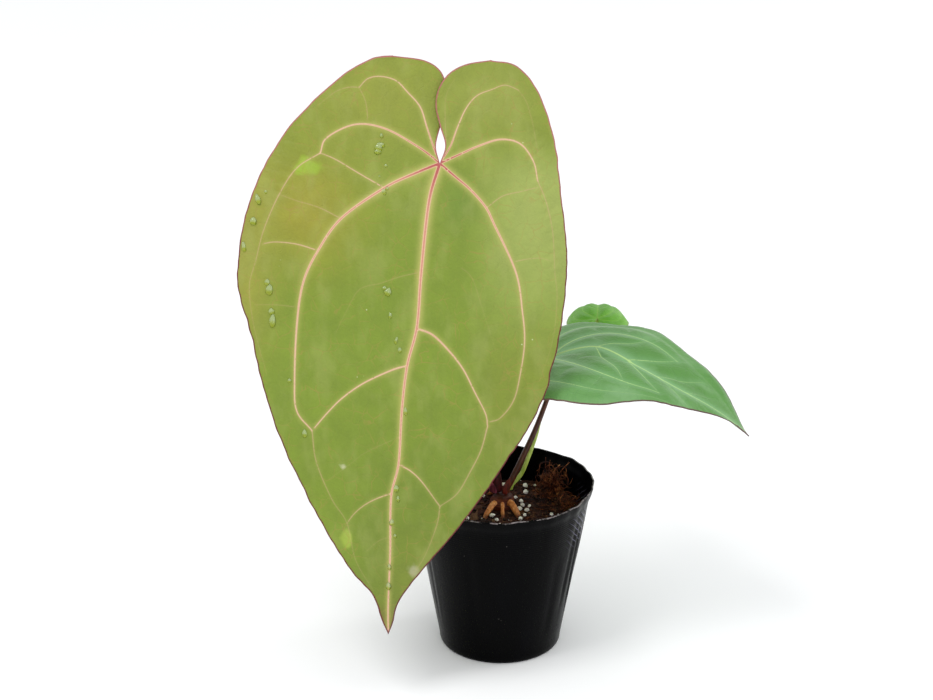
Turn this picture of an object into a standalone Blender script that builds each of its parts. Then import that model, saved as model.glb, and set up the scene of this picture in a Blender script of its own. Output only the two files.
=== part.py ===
"""Potted anthurium: a young three-leaved plant in a thin plastic nursery pot.

Built standing on the ground: +Z is up, the front is -Y, and the origin is the middle of the pot's base.
Lengths are in metres; the sizes below are written in millimetres times MM.
"""

import math
import random

import bmesh
import bpy
from mathutils import Matrix, Vector

MM = 0.001
GAP = 0.3 * MM  # clearance between two pieces that touch

# Pot
POT_HEIGHT = 83 * MM
RIM_RADIUS = 45 * MM
LIP_HEIGHT = 6 * MM
LIP_FLARE = 1.5 * MM
BASE_RADIUS = 28 * MM  # flat part of the base
HEEL_RISE = 4 * MM  # rounded corner between base and side
HEEL_SPREAD = 2 * MM
POT_WALL = 0.8 * MM
POT_FLOOR = 1.2 * MM
DRAIN_HOLES = 6
DRAIN_RADIUS = 3 * MM
DRAIN_CIRCLE = 18 * MM

# Potting mix
HEADSPACE = 15.5 * MM  # from the mix up to the rim
MIX_MOUND = 1 * MM  # rise towards the crown
MIX_LUMP = 0.6 * MM

# Crown: a short stem that stands in the mix and carries everything that grows
CROWN = Vector((0.8 * MM, 5.5 * MM, 0))
STEM_RADIUS = 5.6 * MM
STEM_ABOVE = 8.5 * MM
STEM_BELOW = 10 * MM

# Petioles: the radius at the foot and at the top
LARGE_PETIOLE = (1.9 * MM, 1.5 * MM)
SECOND_PETIOLE = (1.8 * MM, 1.1 * MM)
SMALL_PETIOLE = (1.2 * MM, 0.9 * MM)
KNEE_SWELL = 1.25  # the thicker knee below each blade
KNEE_LENGTH = 6  # in top radii
JOINT_GAP = 2.5 * GAP  # the blade's back is curved where the knee meets it

# Blades: length from the petiole's joint to the tip, and thickness
LARGE_LENGTH = 220 * MM
SECOND_LENGTH = 109 * MM
SMALL_LENGTH = 42 * MM
LARGE_THICK = 0.7 * MM
SMALL_THICK = 0.6 * MM
LOBE_LIFT = 1.3 * MM  # one basal lobe lies over the other

# Where each blade hangs
LARGE_RISE = 176.5 * MM  # joint above the mix
LARGE_SIDE = -29 * MM
LARGE_TILT = 22  # degrees that the blade leans back from upright
RIM_STANDOFF = 14 * MM  # blade to rim, measured at the rim's height
SECOND_JOINT = Vector((23.3, 17.5, 74.5)) * MM  # from the mix's level
SMALL_JOINT = Vector((48.5, 58, 79)) * MM

# Worked out from the sizes above
MIX_LEVEL = POT_HEIGHT - HEADSPACE
HEEL_RADIUS = BASE_RADIUS + HEEL_SPREAD
NECK_RADIUS = RIM_RADIUS - LIP_FLARE  # the wall just below the lip

# The large blade's outline: millimetres right of and below the joint for a blade of this length
LARGE_DRAWN = 218
LARGE_MIDRIB = ((0, 0), (-5, 18), (-8.5, 50), (-10.5, 75), (-15, 93), (-17.5, 114), (-19, 138),
                (-22.5, 154), (-23, 180), (-24, 204), (-24, 218))
LARGE_LEFT_MARGIN = ((-20.5, -49.5), (-33, -47.5), (-53, -34), (-73.5, -12), (-85.5, 10.5), (-91.5, 33),
                     (-93.5, 55), (-88, 77), (-82.5, 100), (-75.5, 122), (-66.5, 144), (-55, 166),
                     (-41, 188), (-31, 199.5), (-27, 211), (-24, 218))
LARGE_RIGHT_MARGIN = ((23.5, -47.5), (35.5, -45), (45, -34), (52.5, -12), (55.5, 10.5), (58.5, 38),
                      (58, 60), (53.5, 88), (45.5, 114), (30.5, 138), (11, 165), (-9, 189),
                      (-19, 203), (-21.5, 212), (-24, 218))
LARGE_LEFT_SINUS = ((-20.5, -49.5), (-7, -47.5), (0.5, -42.5), (3.2, -34), (2.6, -25), (0.3, -17),
                    (-1.7, -8), (0, 0))
LARGE_RIGHT_SINUS = ((23.5, -47.5), (12, -45.5), (4, -41), (-0.6, -34), (-1.9, -26), (0.1, -17),
                     (2.5, -8), (0, 0))

# A young blade's right half, as shares of its length; the left half mirrors it
YOUNG_MIDRIB = ((0, 0), (0, 0.3), (0, 0.6), (0, 1))
YOUNG_MARGIN = ((0.13, -0.26), (0.23, -0.22), (0.31, -0.12), (0.35, 0), (0.37, 0.12), (0.37, 0.25),
                (0.34, 0.38), (0.285, 0.5), (0.215, 0.62), (0.14, 0.74), (0.07, 0.86), (0.022, 0.95),
                (0, 1))
YOUNG_SINUS = ((0.13, -0.26), (0.05, -0.23), (0.015, -0.15), (0.012, -0.07), (0, 0))


for old in list(bpy.data.objects):
    bpy.data.objects.remove(old, do_unlink=True)
plant = bpy.data.collections.new("potted_anthurium")
cutters = bpy.data.collections.new("cutters")
bpy.context.scene.collection.children.link(plant)
bpy.context.scene.collection.children.link(cutters)


def material(name, colour, roughness, metallic=0.0):
    """A Principled material; the colour is given as 0-255 screen values."""
    made = bpy.data.materials.new(name)
    made.use_nodes = True
    shader = made.node_tree.nodes["Principled BSDF"]
    linear = [(value / 255) ** 2.2 for value in colour]
    shader.inputs["Base Color"].default_value = (*linear, 1)
    shader.inputs["Roughness"].default_value = roughness
    shader.inputs["Metallic"].default_value = metallic
    made.diffuse_color = (*linear, 1)
    return made


def add_object(name, data, finish, collection=plant):
    made = bpy.data.objects.new(name, data)
    collection.objects.link(made)
    if finish:
        data.materials.append(finish)
    return made


def mark_as_cutter(cutter):
    cutter.hide_render = True
    cutter.display_type = "WIRE"


def shade_round(mesh, degrees=40):
    mesh.shade_smooth()
    mesh.set_sharp_from_angle(angle=math.radians(degrees))


def smooth_line(points, count):
    """Count + 1 points, evenly spaced, on a smooth curve through the given points."""
    points = [Vector(point).to_3d() for point in points]
    ends = [2 * points[0] - points[1], *points, 2 * points[-1] - points[-2]]
    fine = [points[0]]
    for before, start, end, after in zip(ends, ends[1:], ends[2:], ends[3:]):
        for step in range(1, 13):
            t = step / 12
            fine.append(0.5 * (2 * start + (end - before) * t
                               + (2 * before - 5 * start + 4 * end - after) * t ** 2
                               + (3 * start - before - 3 * end + after) * t ** 3))
    lengths = [0.0]
    for a, b in zip(fine, fine[1:]):
        lengths.append(lengths[-1] + (b - a).length)
    even = []
    k = 0
    for index in range(count + 1):
        wanted = lengths[-1] * index / count
        while k < len(fine) - 2 and lengths[k + 1] < wanted:
            k += 1
        share = (wanted - lengths[k]) / (lengths[k + 1] - lengths[k])
        even.append(fine[k].lerp(fine[k + 1], share))
    return even


def tube(name, route, radius_at, count, finish, sides=2, collection=plant):
    """A round stalk or root as a mesh; radius_at takes the share of its length, 0 to 1."""
    curve = bpy.data.curves.new(name, "CURVE")
    curve.dimensions = "3D"
    curve.bevel_depth = 1.0
    curve.bevel_resolution = sides
    curve.use_fill_caps = True
    spline = curve.splines.new("POLY")
    points = smooth_line(route, count)
    spline.points.add(count)
    for index, place in enumerate(points):
        spline.points[index].co = (*place, 1)
        spline.points[index].radius = radius_at(index / count)
    drawn = add_object(name + "_line", curve, None, cutters)
    bpy.context.view_layer.update()
    graph = bpy.context.evaluated_depsgraph_get()
    mesh = bpy.data.meshes.new_from_object(drawn.evaluated_get(graph))
    bpy.data.objects.remove(drawn)
    shell = bmesh.new()
    shell.from_mesh(mesh)
    bmesh.ops.remove_doubles(shell, verts=shell.verts, dist=1e-7)
    bmesh.ops.recalc_face_normals(shell, faces=shell.faces)
    shell.to_mesh(mesh)
    shell.free()
    shade_round(mesh)
    mesh.materials.clear()
    mesh.name = name
    return add_object(name, mesh, finish, collection)


def turned(name, profile, steps, finish, collection=plant):
    """A profile of (radius, height) turned about the upright axis, top to bottom on the outside."""
    mesh = bpy.data.meshes.new(name)
    outline = bmesh.new()
    corners = [outline.verts.new((radius, 0, height)) for radius, height in profile]
    for a, b in zip(corners, corners[1:]):
        outline.edges.new((a, b))
    if profile[0][0] > 0:
        outline.edges.new((corners[-1], corners[0]))
    outline.to_mesh(mesh)
    outline.free()
    made = add_object(name, mesh, finish, collection)
    screw = made.modifiers.new("turn", "SCREW")
    screw.steps = steps
    screw.render_steps = steps
    screw.use_merge_vertices = True
    screw.merge_threshold = 1e-6
    screw.use_smooth_shade = True
    return made


def cut(made, cutter, name):
    mark_as_cutter(cutter)
    boolean = made.modifiers.new(name, "BOOLEAN")
    boolean.operation = "DIFFERENCE"
    boolean.object = cutter


# ------------------------------------------------------------------------------------------------ pot


def wall_radius(height):
    """Outer radius of the straight side at this height."""
    share = (height - HEEL_RISE) / (POT_HEIGHT - HEEL_RISE)
    return HEEL_RADIUS + (NECK_RADIUS - HEEL_RADIUS) * share


def build_pot():
    finish = material("black_plastic", (20, 20, 24), 0.3)
    lip_foot = POT_HEIGHT - LIP_HEIGHT
    outside = [(RIM_RADIUS, POT_HEIGHT),
               (RIM_RADIUS - 0.25 * LIP_FLARE, POT_HEIGHT - 0.45 * LIP_HEIGHT),
               (wall_radius(lip_foot), lip_foot),
               (wall_radius(POT_HEIGHT / 2), POT_HEIGHT / 2),
               (HEEL_RADIUS, HEEL_RISE),
               (BASE_RADIUS + 0.7 * HEEL_SPREAD, 0.3 * HEEL_RISE),
               (BASE_RADIUS, 0),
               (0, 0)]
    inside = [(0, POT_FLOOR),
              (BASE_RADIUS - POT_WALL, POT_FLOOR),
              (HEEL_RADIUS - POT_WALL, HEEL_RISE),
              (wall_radius(POT_HEIGHT / 2) - POT_WALL, POT_HEIGHT / 2),
              (wall_radius(lip_foot) - POT_WALL, lip_foot),
              (RIM_RADIUS - 0.25 * LIP_FLARE - POT_WALL, POT_HEIGHT - 0.45 * LIP_HEIGHT),
              (RIM_RADIUS - POT_WALL, POT_HEIGHT)]
    pot = turned("pot", outside + inside, 48, finish)
    drill = bmesh.new()
    for hole in range(DRAIN_HOLES):
        turn = Matrix.Rotation(math.tau * hole / DRAIN_HOLES, 4, "Z")
        place = turn @ Matrix.Translation((DRAIN_CIRCLE, 0, 0))
        bmesh.ops.create_cone(drill, cap_ends=True, segments=12, radius1=DRAIN_RADIUS,
                              radius2=DRAIN_RADIUS, depth=6 * POT_FLOOR, matrix=place)
    mesh = bpy.data.meshes.new("drain_drill")
    drill.to_mesh(mesh)
    drill.free()
    cut(pot, add_object("drain_drill", mesh, None, cutters), "drain holes")


# ---------------------------------------------------------------------------------------- potting mix


def mix_height(x, y):
    """Top of the potting mix: a low mound at the crown with soft lumps."""
    away = math.hypot(x - CROWN.x, y - CROWN.y) / wall_radius(MIX_LEVEL)
    lumps = math.sin(x / (5.1 * MM) + 0.6) * math.cos(y / (4.3 * MM))
    lumps += 0.6 * math.sin((x + y) / (7.3 * MM))
    flat_at_crown_and_wall = min(1, 2 * away) * (1 - away ** 4)
    return MIX_LEVEL + MIX_MOUND * (1 - away ** 2) + MIX_LUMP * lumps * flat_at_crown_and_wall


def build_mix():
    finish = material("potting_mix", (46, 30, 26), 0.95)
    bottom = POT_FLOOR + GAP
    inner = POT_WALL + GAP
    rings = 9
    edge = wall_radius(MIX_LEVEL) - inner
    profile = [(edge * ring / rings, MIX_LEVEL) for ring in range(rings + 1)]
    profile += [(wall_radius(POT_HEIGHT / 2) - inner, POT_HEIGHT / 2),
                (HEEL_RADIUS - inner, HEEL_RISE),
                (BASE_RADIUS - inner - 0.4 * MM, bottom),
                (0, bottom)]
    mesh = bpy.data.meshes.new("potting_mix")
    shape = bmesh.new()
    corners = [shape.verts.new((radius, 0, height)) for radius, height in profile]
    edges = [shape.edges.new(pair) for pair in zip(corners, corners[1:])]
    bmesh.ops.spin(shape, geom=corners + edges, cent=(0, 0, 0), axis=(0, 0, 1), angle=math.tau,
                   steps=40, use_merge=True)
    bmesh.ops.remove_doubles(shape, verts=shape.verts, dist=1e-6)
    for corner in shape.verts:
        if corner.co.z > MIX_LEVEL - 0.1 * MM:
            corner.co.z = mix_height(corner.co.x, corner.co.y)
    bmesh.ops.recalc_face_normals(shape, faces=shape.faces)
    shape.to_mesh(mesh)
    shape.free()
    return add_object("potting_mix", mesh, finish)


# ----------------------------------------------------------------------------------- crown and roots

STEM_TOP = MIX_LEVEL + STEM_ABOVE


def stem_profile(grow):
    low = MIX_LEVEL - STEM_BELOW - grow
    return [(0, STEM_TOP + grow), (0.86 * STEM_RADIUS + grow, STEM_TOP + grow),
            (STEM_RADIUS + grow, STEM_TOP - 0.2 * STEM_ABOVE), (STEM_RADIUS + grow, MIX_LEVEL - 2 * MM),
            (0.6 * STEM_RADIUS + grow, low), (0, low)]


def build_stem(mix):
    stem = turned("crown_stem", stem_profile(0), 20, material("crown_stem", (96, 46, 30), 0.6))
    socket = turned("stem_socket", stem_profile(GAP), 20, None, cutters)
    stem.location = CROWN
    socket.location = CROWN
    cut(mix, socket, "stem socket")


# name, bearing in degrees from +X, reach in millimetres, radius in millimetres
ROOTS = (("root_left", 237, 11, 1.6),
         ("root_middle", 271, 7.5, 1.1),
         ("root_right", 305, 8.5, 1.9),
         ("root_back_left", 115, 10, 1.3),
         ("root_back_right", 80, 9, 1.2))

# Millimetres right of and behind the crown and above the mix's level
SURFACE_ROOT = ((-15, -23, -3), (-12.5, -25.2, 2.4), (-8.5, -26, 2.6), (-5.5, -25.5, -2.5))


def root(name, route, radius, finish, mix):
    """A root along the route, and the pocket that the mix leaves for it."""

    def radius_at(share):
        return radius * (1 - 0.3 * share)

    tube(name, route, radius_at, 14, finish)
    longer = [route[0] + (route[0] - route[1]).normalized() * 2 * GAP, *route[1:-1],
              route[-1] + (route[-1] - route[-2]).normalized() * 2 * GAP]
    pocket = tube(name + "_pocket", longer, lambda share: radius_at(share) + GAP, 14, None,
                  collection=cutters)
    cut(mix, pocket, name)


def build_roots(mix):
    finish = material("aerial_root", (190, 125, 70), 0.55)
    for name, bearing, reach, radius in ROOTS:
        out = Vector((math.cos(math.radians(bearing)), math.sin(math.radians(bearing)), 0))
        reach = reach * MM
        start = CROWN + out * (STEM_RADIUS + GAP) + Vector((0, 0, STEM_TOP - 0.36 * STEM_ABOVE))
        steps = ((0.35 * reach, -0.6), (0.75 * reach, -3.4), (reach, -7), (reach + 1.2 * MM, -12))
        route = [start] + [start + out * far + Vector((0, 0, drop * MM)) for far, drop in steps]
        root(name, route, radius * MM, finish, mix)
    # A root that comes up through the mix near the front wall and goes down again
    arch = [CROWN + Vector((x, y, rise)) * MM + Vector((0, 0, MIX_LEVEL)) for x, y, rise in SURFACE_ROOT]
    root("root_surface", arch, 1.2 * MM, finish, mix)


# ------------------------------------------------------------------------------------ sheath leaves


def sheath(name, stalk, length, radius, spread, facing, finish):
    """A pointed papery leaf wrapped part of the way round a stalk's foot.

    stalk is the stalk's middle line; spread, half the width at the foot, and facing are in degrees.
    """
    rows = 8
    columns = 6
    step = (stalk[1] - stalk[0]).length
    shape = bmesh.new()
    bmesh.ops.create_grid(shape, x_segments=columns, y_segments=rows, size=1)
    for corner in shape.verts:
        across = corner.co.x
        up = (corner.co.y + 1) / 2
        turn = math.radians(facing + across * spread * (1 - up ** 2.5))
        reach = radius + 0.3 * MM * up
        passed = up * length / step
        place = stalk[int(passed)].lerp(stalk[int(passed) + 1], passed % 1)
        corner.co = place + Vector((math.cos(turn), math.sin(turn), 0)) * reach
    bmesh.ops.remove_doubles(shape, verts=shape.verts, dist=1e-6)
    bmesh.ops.recalc_face_normals(shape, faces=shape.faces)
    mesh = bpy.data.meshes.new(name)
    shape.to_mesh(mesh)
    shape.free()
    mesh.shade_smooth()
    made = add_object(name, mesh, finish)
    wall = made.modifiers.new("thickness", "SOLIDIFY")
    wall.thickness = 0.4 * MM
    wall.offset = 0
    return made


# ------------------------------------------------------------------------------------------- blades


class Blade:
    """A blade's joint, its directions there, and the bend that it takes away from the joint."""

    def __init__(self, joint, heading, pitch, roll, radius, fold, cup, length, thick):
        """heading, pitch and roll in degrees; radius of the droop; fold in degrees; cup in 1/m."""
        level = Vector((math.cos(math.radians(heading)), math.sin(math.radians(heading)), 0))
        up = Vector((0, 0, 1))
        pitch = math.radians(pitch)
        self.joint = joint
        self.along = level * math.cos(pitch) + up * math.sin(pitch)
        self.out = up * math.cos(pitch) - level * math.sin(pitch)
        turn = Matrix.Rotation(math.radians(roll), 3, self.along)
        self.out = turn @ self.out
        self.across = self.out.cross(self.along)
        self.radius = radius
        self.fold = math.tan(math.radians(fold))
        self.cup = cup
        self.length = length
        self.thick = thick

    def place(self, u, v, side, edge):
        """The upper face at u across and v towards the tip; edge runs from 0, midrib, to 1, margin."""
        turn = v / self.radius
        spine = self.joint + self.along * self.radius * math.sin(turn)
        spine -= self.out * self.radius * (1 - math.cos(turn))
        out = self.out * math.cos(turn) + self.along * math.sin(turn)
        rise = self.fold * abs(u) - self.cup * u * u
        ripple = 0.009 * self.length * math.sin(17 * v / self.length + side) * edge ** 2
        lobe = max(0, min(1, -v / (0.06 * self.length)))
        over = side * LOBE_LIFT * lobe * math.exp(-abs(u) / (0.09 * self.length))
        return spine + self.across * u + out * (rise + ripple + over)


def half_blade(shape, blade, inner_lobe, midrib, margin, joint_share, counts, side):
    """One half as a grid: rows run from the basal lobe to the tip, columns from midrib to margin."""
    lobe_rows, rib_rows, columns = counts
    rows = lobe_rows + rib_rows
    inner = smooth_line(inner_lobe, lobe_rows) + smooth_line(midrib, rib_rows)[1:]
    fine = smooth_line(margin, 400)
    made = bmesh.ops.create_grid(shape, x_segments=columns, y_segments=rows, size=1)["verts"]
    for corner in made:
        row = round((corner.co.y + 1) / 2 * rows)
        column = (corner.co.x + 1) / 2
        if row <= lobe_rows:
            share = joint_share * row / lobe_rows
        else:
            share = joint_share + (1 - joint_share) * (row - lobe_rows) / rib_rows
        flat = inner[row].lerp(fine[round(share * 400)], column)
        corner.co = blade.place(flat.x, flat.y, side, column)


def build_blade(name, blade, halves, counts, finish):
    shape = bmesh.new()
    for side, (inner_lobe, midrib, margin, joint_share) in zip((-1, 1), halves):
        half_blade(shape, blade, inner_lobe, midrib, margin, joint_share, counts, side)
    bmesh.ops.remove_doubles(shape, verts=shape.verts, dist=2e-6)
    bmesh.ops.dissolve_degenerate(shape, edges=shape.edges, dist=2e-6)
    bmesh.ops.recalc_face_normals(shape, faces=shape.faces)
    shape.normal_update()
    facing = sum((face.normal * face.calc_area() for face in shape.faces), Vector())
    if facing.dot(blade.out) < 0:
        bmesh.ops.reverse_faces(shape, faces=shape.faces)
    mesh = bpy.data.meshes.new(name)
    shape.to_mesh(mesh)
    shape.free()
    mesh.shade_smooth()
    made = add_object(name, mesh, finish)
    wall = made.modifiers.new("thickness", "SOLIDIFY")
    wall.thickness = blade.thick
    wall.offset = -1
    return made


def scaled(points, scale, flip=1):
    return [(x * scale * flip, y * scale) for x, y in points]


def large_halves(length):
    scale = length / LARGE_DRAWN
    midrib = scaled(LARGE_MIDRIB, scale)
    return ((scaled(LARGE_LEFT_SINUS, scale), midrib, scaled(LARGE_LEFT_MARGIN, scale), 0.24),
            (scaled(LARGE_RIGHT_SINUS, scale), midrib, scaled(LARGE_RIGHT_MARGIN, scale), 0.24))


def young_halves(length):
    midrib = scaled(YOUNG_MIDRIB, length)
    return [(scaled(YOUNG_SINUS, length, flip), midrib, scaled(YOUNG_MARGIN, length, flip), 0.26)
            for flip in (-1, 1)]


def large_blade():
    rise = MIX_LEVEL + LARGE_RISE
    hang = (rise - POT_HEIGHT) * math.tan(math.radians(LARGE_TILT))
    joint = Vector((LARGE_SIDE, hang - RIM_RADIUS - RIM_STANDOFF, rise))
    return Blade(joint, -90, LARGE_TILT - 90, 0, 2.2, 0, 0.7, LARGE_LENGTH, LARGE_THICK)


def second_blade():
    joint = SECOND_JOINT + Vector((0, 0, MIX_LEVEL))
    return Blade(joint, -22.5, 16.5, 7, 0.098, 14, 8, SECOND_LENGTH, SMALL_THICK)


def small_blade():
    joint = SMALL_JOINT + Vector((0, 0, MIX_LEVEL))
    return Blade(joint, 86, 16, 0, 0.034, 2, 30, SMALL_LENGTH, SMALL_THICK)


# ----------------------------------------------------------------------------------------- petioles


def petiole(name, foot, bows, blade, radii, finish):
    """A stalk from its foot on the crown to its knee, square onto the back of its blade.

    A bow is the share of the way from foot to knee, and the millimetres that the stalk lies right of,
    behind and above the straight line there. The stalk's middle line is returned.
    """
    end = blade.joint - blade.out * (blade.thick + JOINT_GAP) + blade.along * 1.6 * radii[1]
    knee = end - blade.out * KNEE_LENGTH * radii[1]
    bends = [foot.lerp(knee, share) + Vector(offset) * MM for share, *offset in bows]
    upright = foot + Vector((0, 0, 2.5 * MM))
    route = [foot, upright, *bends, knee, end - blade.out * 1.5 * radii[1], end]

    def radius_at(share):
        swell = 1 + (KNEE_SWELL - 1) * max(0, min(1, (share - 0.9) / 0.05))
        return (radii[0] + (radii[1] - radii[0]) * share) * swell

    tube(name, route, radius_at, 36, finish)
    return smooth_line(route, 36)


def on_crown(x, y):
    """A petiole's foot, this many millimetres right of and behind the middle of the crown's top."""
    return CROWN + Vector((x, y, 0)) * MM + Vector((0, 0, STEM_TOP + GAP))


def build_plant():
    dark = material("petiole_brown", (72, 34, 20), 0.45)
    green = material("petiole_green", (170, 190, 80), 0.45)

    blade = large_blade()
    bows = ((0.1, 0.4, 0.2, 0), (0.25, -0.8, 0.6, 0), (0.5, -2.2, 1.6, 0), (0.87, 0, 4, 0))
    stalk = petiole("petiole_large", on_crown(-2.5, 1.4), bows, blade, LARGE_PETIOLE, dark)
    build_blade("blade_large", blade, large_halves(blade.length), (6, 20, 8),
                material("blade_olive", (136, 158, 62), 0.55))
    sheath("cataphyll_dark", stalk, 15 * MM, LARGE_PETIOLE[0] + 2.5 * GAP, 92, 280,
           material("cataphyll_maroon", (52, 8, 14), 0.5))
    sheath("cataphyll_purple", stalk, 7 * MM, LARGE_PETIOLE[0] + 6 * GAP, 45, 225,
           material("cataphyll_purple", (110, 44, 60), 0.5))

    blade = second_blade()
    bows = ((0.13, -0.3, -0.9, 0), (0.5, 0.9, -1, 0), (0.8, 0.6, 0, 0))
    stalk = petiole("petiole_second", on_crown(2.2, -1.4), bows, blade, SECOND_PETIOLE, dark)
    build_blade("blade_second", blade, young_halves(blade.length), (5, 15, 6),
                material("blade_green", (126, 172, 112), 0.5))
    sheath("cataphyll_red", stalk, 10 * MM, SECOND_PETIOLE[0] + 1.8 * GAP, 48, 232,
           material("cataphyll_red", (120, 38, 26), 0.5))

    blade = small_blade()
    bows = ((0.12, -0.3, -5.2, 0), (0.26, -2.9, -12, 0), (0.42, -6.1, -17, 0), (0.59, -10.5, -22, 0),
            (0.79, -11.7, -19, 0), (0.93, -5.5, -7, 0))
    petiole("petiole_small", on_crown(4.2, 1.6), bows, blade, SMALL_PETIOLE, green)
    build_blade("blade_small", blade, young_halves(blade.length), (4, 11, 5),
                material("blade_fresh_green", (98, 168, 44), 0.5))


# ---------------------------------------------------------------------------- loose pieces on the mix

# Millimetres right of and behind the crown, and radius: perlite grains
PERLITE = ((12, 21.5, 1.5), (12, 14, 1.5), (6.8, 8, 1.1), (9.6, 2.9, 1.2), (10, -2, 1.3), (8.5, -6.7, 1.6),
           (11.9, -7.6, 1.3), (10.9, -12.4, 1), (8.7, -16, 1.3), (-4.9, -12.9, 1.5), (-2.8, -16.8, 1.1),
           (-9, 8, 1), (24, -11, 1), (-22, -4, 1.4), (-17, -17, 1.2), (-16, 14, 1.5), (1, 22, 1.3))

# Lumps of coir fibre: bearing in degrees, millimetres in from the wall, half sizes in millimetres
COIR = (("coir_clump", 31, 3.5, (7, 6.5, 7.5)), ("coir_tuft", 2, 1.2, (6, 5, 4)))


def seat(x, y, radius):
    """Height of the middle of a piece of this radius that rests on the mix."""
    around = [(0, 0)] + [(math.cos(turn), math.sin(turn)) for turn in (0, 0.8, 1.6, 2.4, 3.2, 4, 4.8, 5.6)]
    top = max(mix_height(x + radius * a, y + radius * b) for a, b in around)
    return top + GAP


def lump(name, middle, sizes, roughness, seed, detail, finish):
    """A rough closed lump: an icosphere with its corners pushed in and out."""
    draw = random.Random(seed)
    shape = bmesh.new()
    bmesh.ops.create_icosphere(shape, subdivisions=detail, radius=1)
    for corner in shape.verts:
        corner.co *= 1 - roughness * draw.random()
        corner.co = Vector((corner.co.x * sizes[0], corner.co.y * sizes[1], corner.co.z * sizes[2]))
        corner.co += middle
    mesh = bpy.data.meshes.new(name)
    shape.to_mesh(mesh)
    shape.free()
    return add_object(name, mesh, finish)


def build_loose_pieces():
    white = material("perlite", (232, 222, 214), 0.85)
    for number, (x, y, radius) in enumerate(PERLITE, start=1):
        radius = radius * MM
        x = CROWN.x + x * MM
        y = CROWN.y + y * MM
        middle = Vector((x, y, seat(x, y, radius) + 0.85 * radius))
        sizes = (radius, 0.9 * radius, 0.85 * radius)
        lump(f"perlite_{number:02d}", middle, sizes, 0.18, number, 2, white)
    coir = material("coir", (112, 58, 30), 0.9)
    for seed, (name, bearing, inset, half) in enumerate(COIR):
        reach = wall_radius(MIX_LEVEL) - POT_WALL - (half[0] + inset) * MM
        x = reach * math.cos(math.radians(bearing))
        y = reach * math.sin(math.radians(bearing))
        sizes = [value * MM for value in half]
        middle = Vector((x, y, seat(x, y, sizes[0]) + sizes[2]))
        lump(name, middle, sizes, 0.16, 40 + seed, 3, coir)


build_pot()
potting_mix = build_mix()
build_stem(potting_mix)
build_roots(potting_mix)
build_plant()
build_loose_pieces()
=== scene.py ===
"""A potted anthurium: the visual model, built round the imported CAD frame.

Lengths are in metres, +Z is up, the front is -Y, and the origin is the middle of the pot's base.
"""

import math
import random

import bpy
import numpy as np
from mathutils import Matrix, Vector, geometry, noise
from mathutils.bvhtree import BVHTree


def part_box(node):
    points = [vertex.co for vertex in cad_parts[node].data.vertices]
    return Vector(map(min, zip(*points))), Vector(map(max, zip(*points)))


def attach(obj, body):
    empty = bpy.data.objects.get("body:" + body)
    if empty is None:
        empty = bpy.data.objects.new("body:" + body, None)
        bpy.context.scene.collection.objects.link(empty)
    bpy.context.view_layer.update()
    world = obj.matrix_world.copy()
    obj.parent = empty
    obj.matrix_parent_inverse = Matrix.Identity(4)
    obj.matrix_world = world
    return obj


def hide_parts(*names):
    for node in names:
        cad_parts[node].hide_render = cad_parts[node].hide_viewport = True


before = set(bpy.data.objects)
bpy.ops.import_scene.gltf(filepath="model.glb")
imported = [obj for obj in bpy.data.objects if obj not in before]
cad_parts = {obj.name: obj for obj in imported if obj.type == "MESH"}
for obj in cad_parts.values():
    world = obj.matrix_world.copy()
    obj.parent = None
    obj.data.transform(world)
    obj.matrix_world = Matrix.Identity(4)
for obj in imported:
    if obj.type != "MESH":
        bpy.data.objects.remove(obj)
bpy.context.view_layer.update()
MM = 0.001

# ---------------------------------------------------------------------------------------- the studio
# A white table under soft light: a large soft box above and to the left, a weaker one in front,
# and an even pale surround. The camera stands 1.1 m in front of the plant and looks down 22 degrees.

bpy.ops.object.camera_add(location=(-0.0166, -1.0842, 0.5912), rotation=(math.radians(68), 0, 0))
camera = bpy.context.object
camera.data.lens = 95
camera.data.sensor_width = 36
camera.data.clip_start = 0.02
bpy.context.scene.camera = camera
bpy.context.scene.view_settings.view_transform = "Standard"

world = bpy.data.worlds.new("pale surround")
world.use_nodes = True
world.node_tree.nodes["Background"].inputs["Color"].default_value = (0.97, 0.985, 1, 1)
world.node_tree.nodes["Background"].inputs["Strength"].default_value = 0.92
bpy.context.scene.world = world


def soft_box(name, place, target, size, power):
    """A square soft box that faces the target."""
    facing = (Vector(target) - Vector(place)).to_track_quat("-Z", "Y").to_euler()
    bpy.ops.object.light_add(type="AREA", location=place, rotation=facing)
    lamp = bpy.context.object
    lamp.name = name
    lamp.data.size = size
    lamp.data.energy = power


soft_box("soft_box_above", (-0.7, -0.5, 1.7), (0, 0, 0.1), 0.6, 9)
soft_box("soft_box_front", (0.5, -2.4, 1.3), (0, 0, 0.15), 1.2, 8)
soft_box("soft_box_right", (1.6, 0.5, 0.7), (0, 0, 0.1), 0.5, 6)

bpy.ops.mesh.primitive_plane_add(size=8, location=(0, 0, -0.00005))
table_top = bpy.context.object
table_top.name = "table_top"

# ------------------------------------------------------------------------------------------- the pot
# A nursery pot of thin black polythene, blown in a mould and trimmed at the lip. It is soft enough
# to crease where it is held, so the lip waves a little and the side has a few upright folds.


class Value:
    """A socket in a finish; sums on it add the Math nodes."""

    def __init__(self, finish, socket):
        self.finish = finish
        self.socket = socket

    def __add__(self, other):
        return self.finish.math("ADD", self, other)

    __radd__ = __add__

    def __sub__(self, other):
        return self.finish.math("SUBTRACT", self, other)

    def __rsub__(self, other):
        return self.finish.math("SUBTRACT", other, self)

    def __mul__(self, other):
        return self.finish.math("MULTIPLY", self, other)

    __rmul__ = __mul__

    def __pow__(self, other):
        return self.finish.math("POWER", self, other)


def screen(red, green, blue):
    """A colour from screen values of 0 to 255."""
    return (*((value / 255) ** 2.2 for value in (red, green, blue)), 1)


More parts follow.
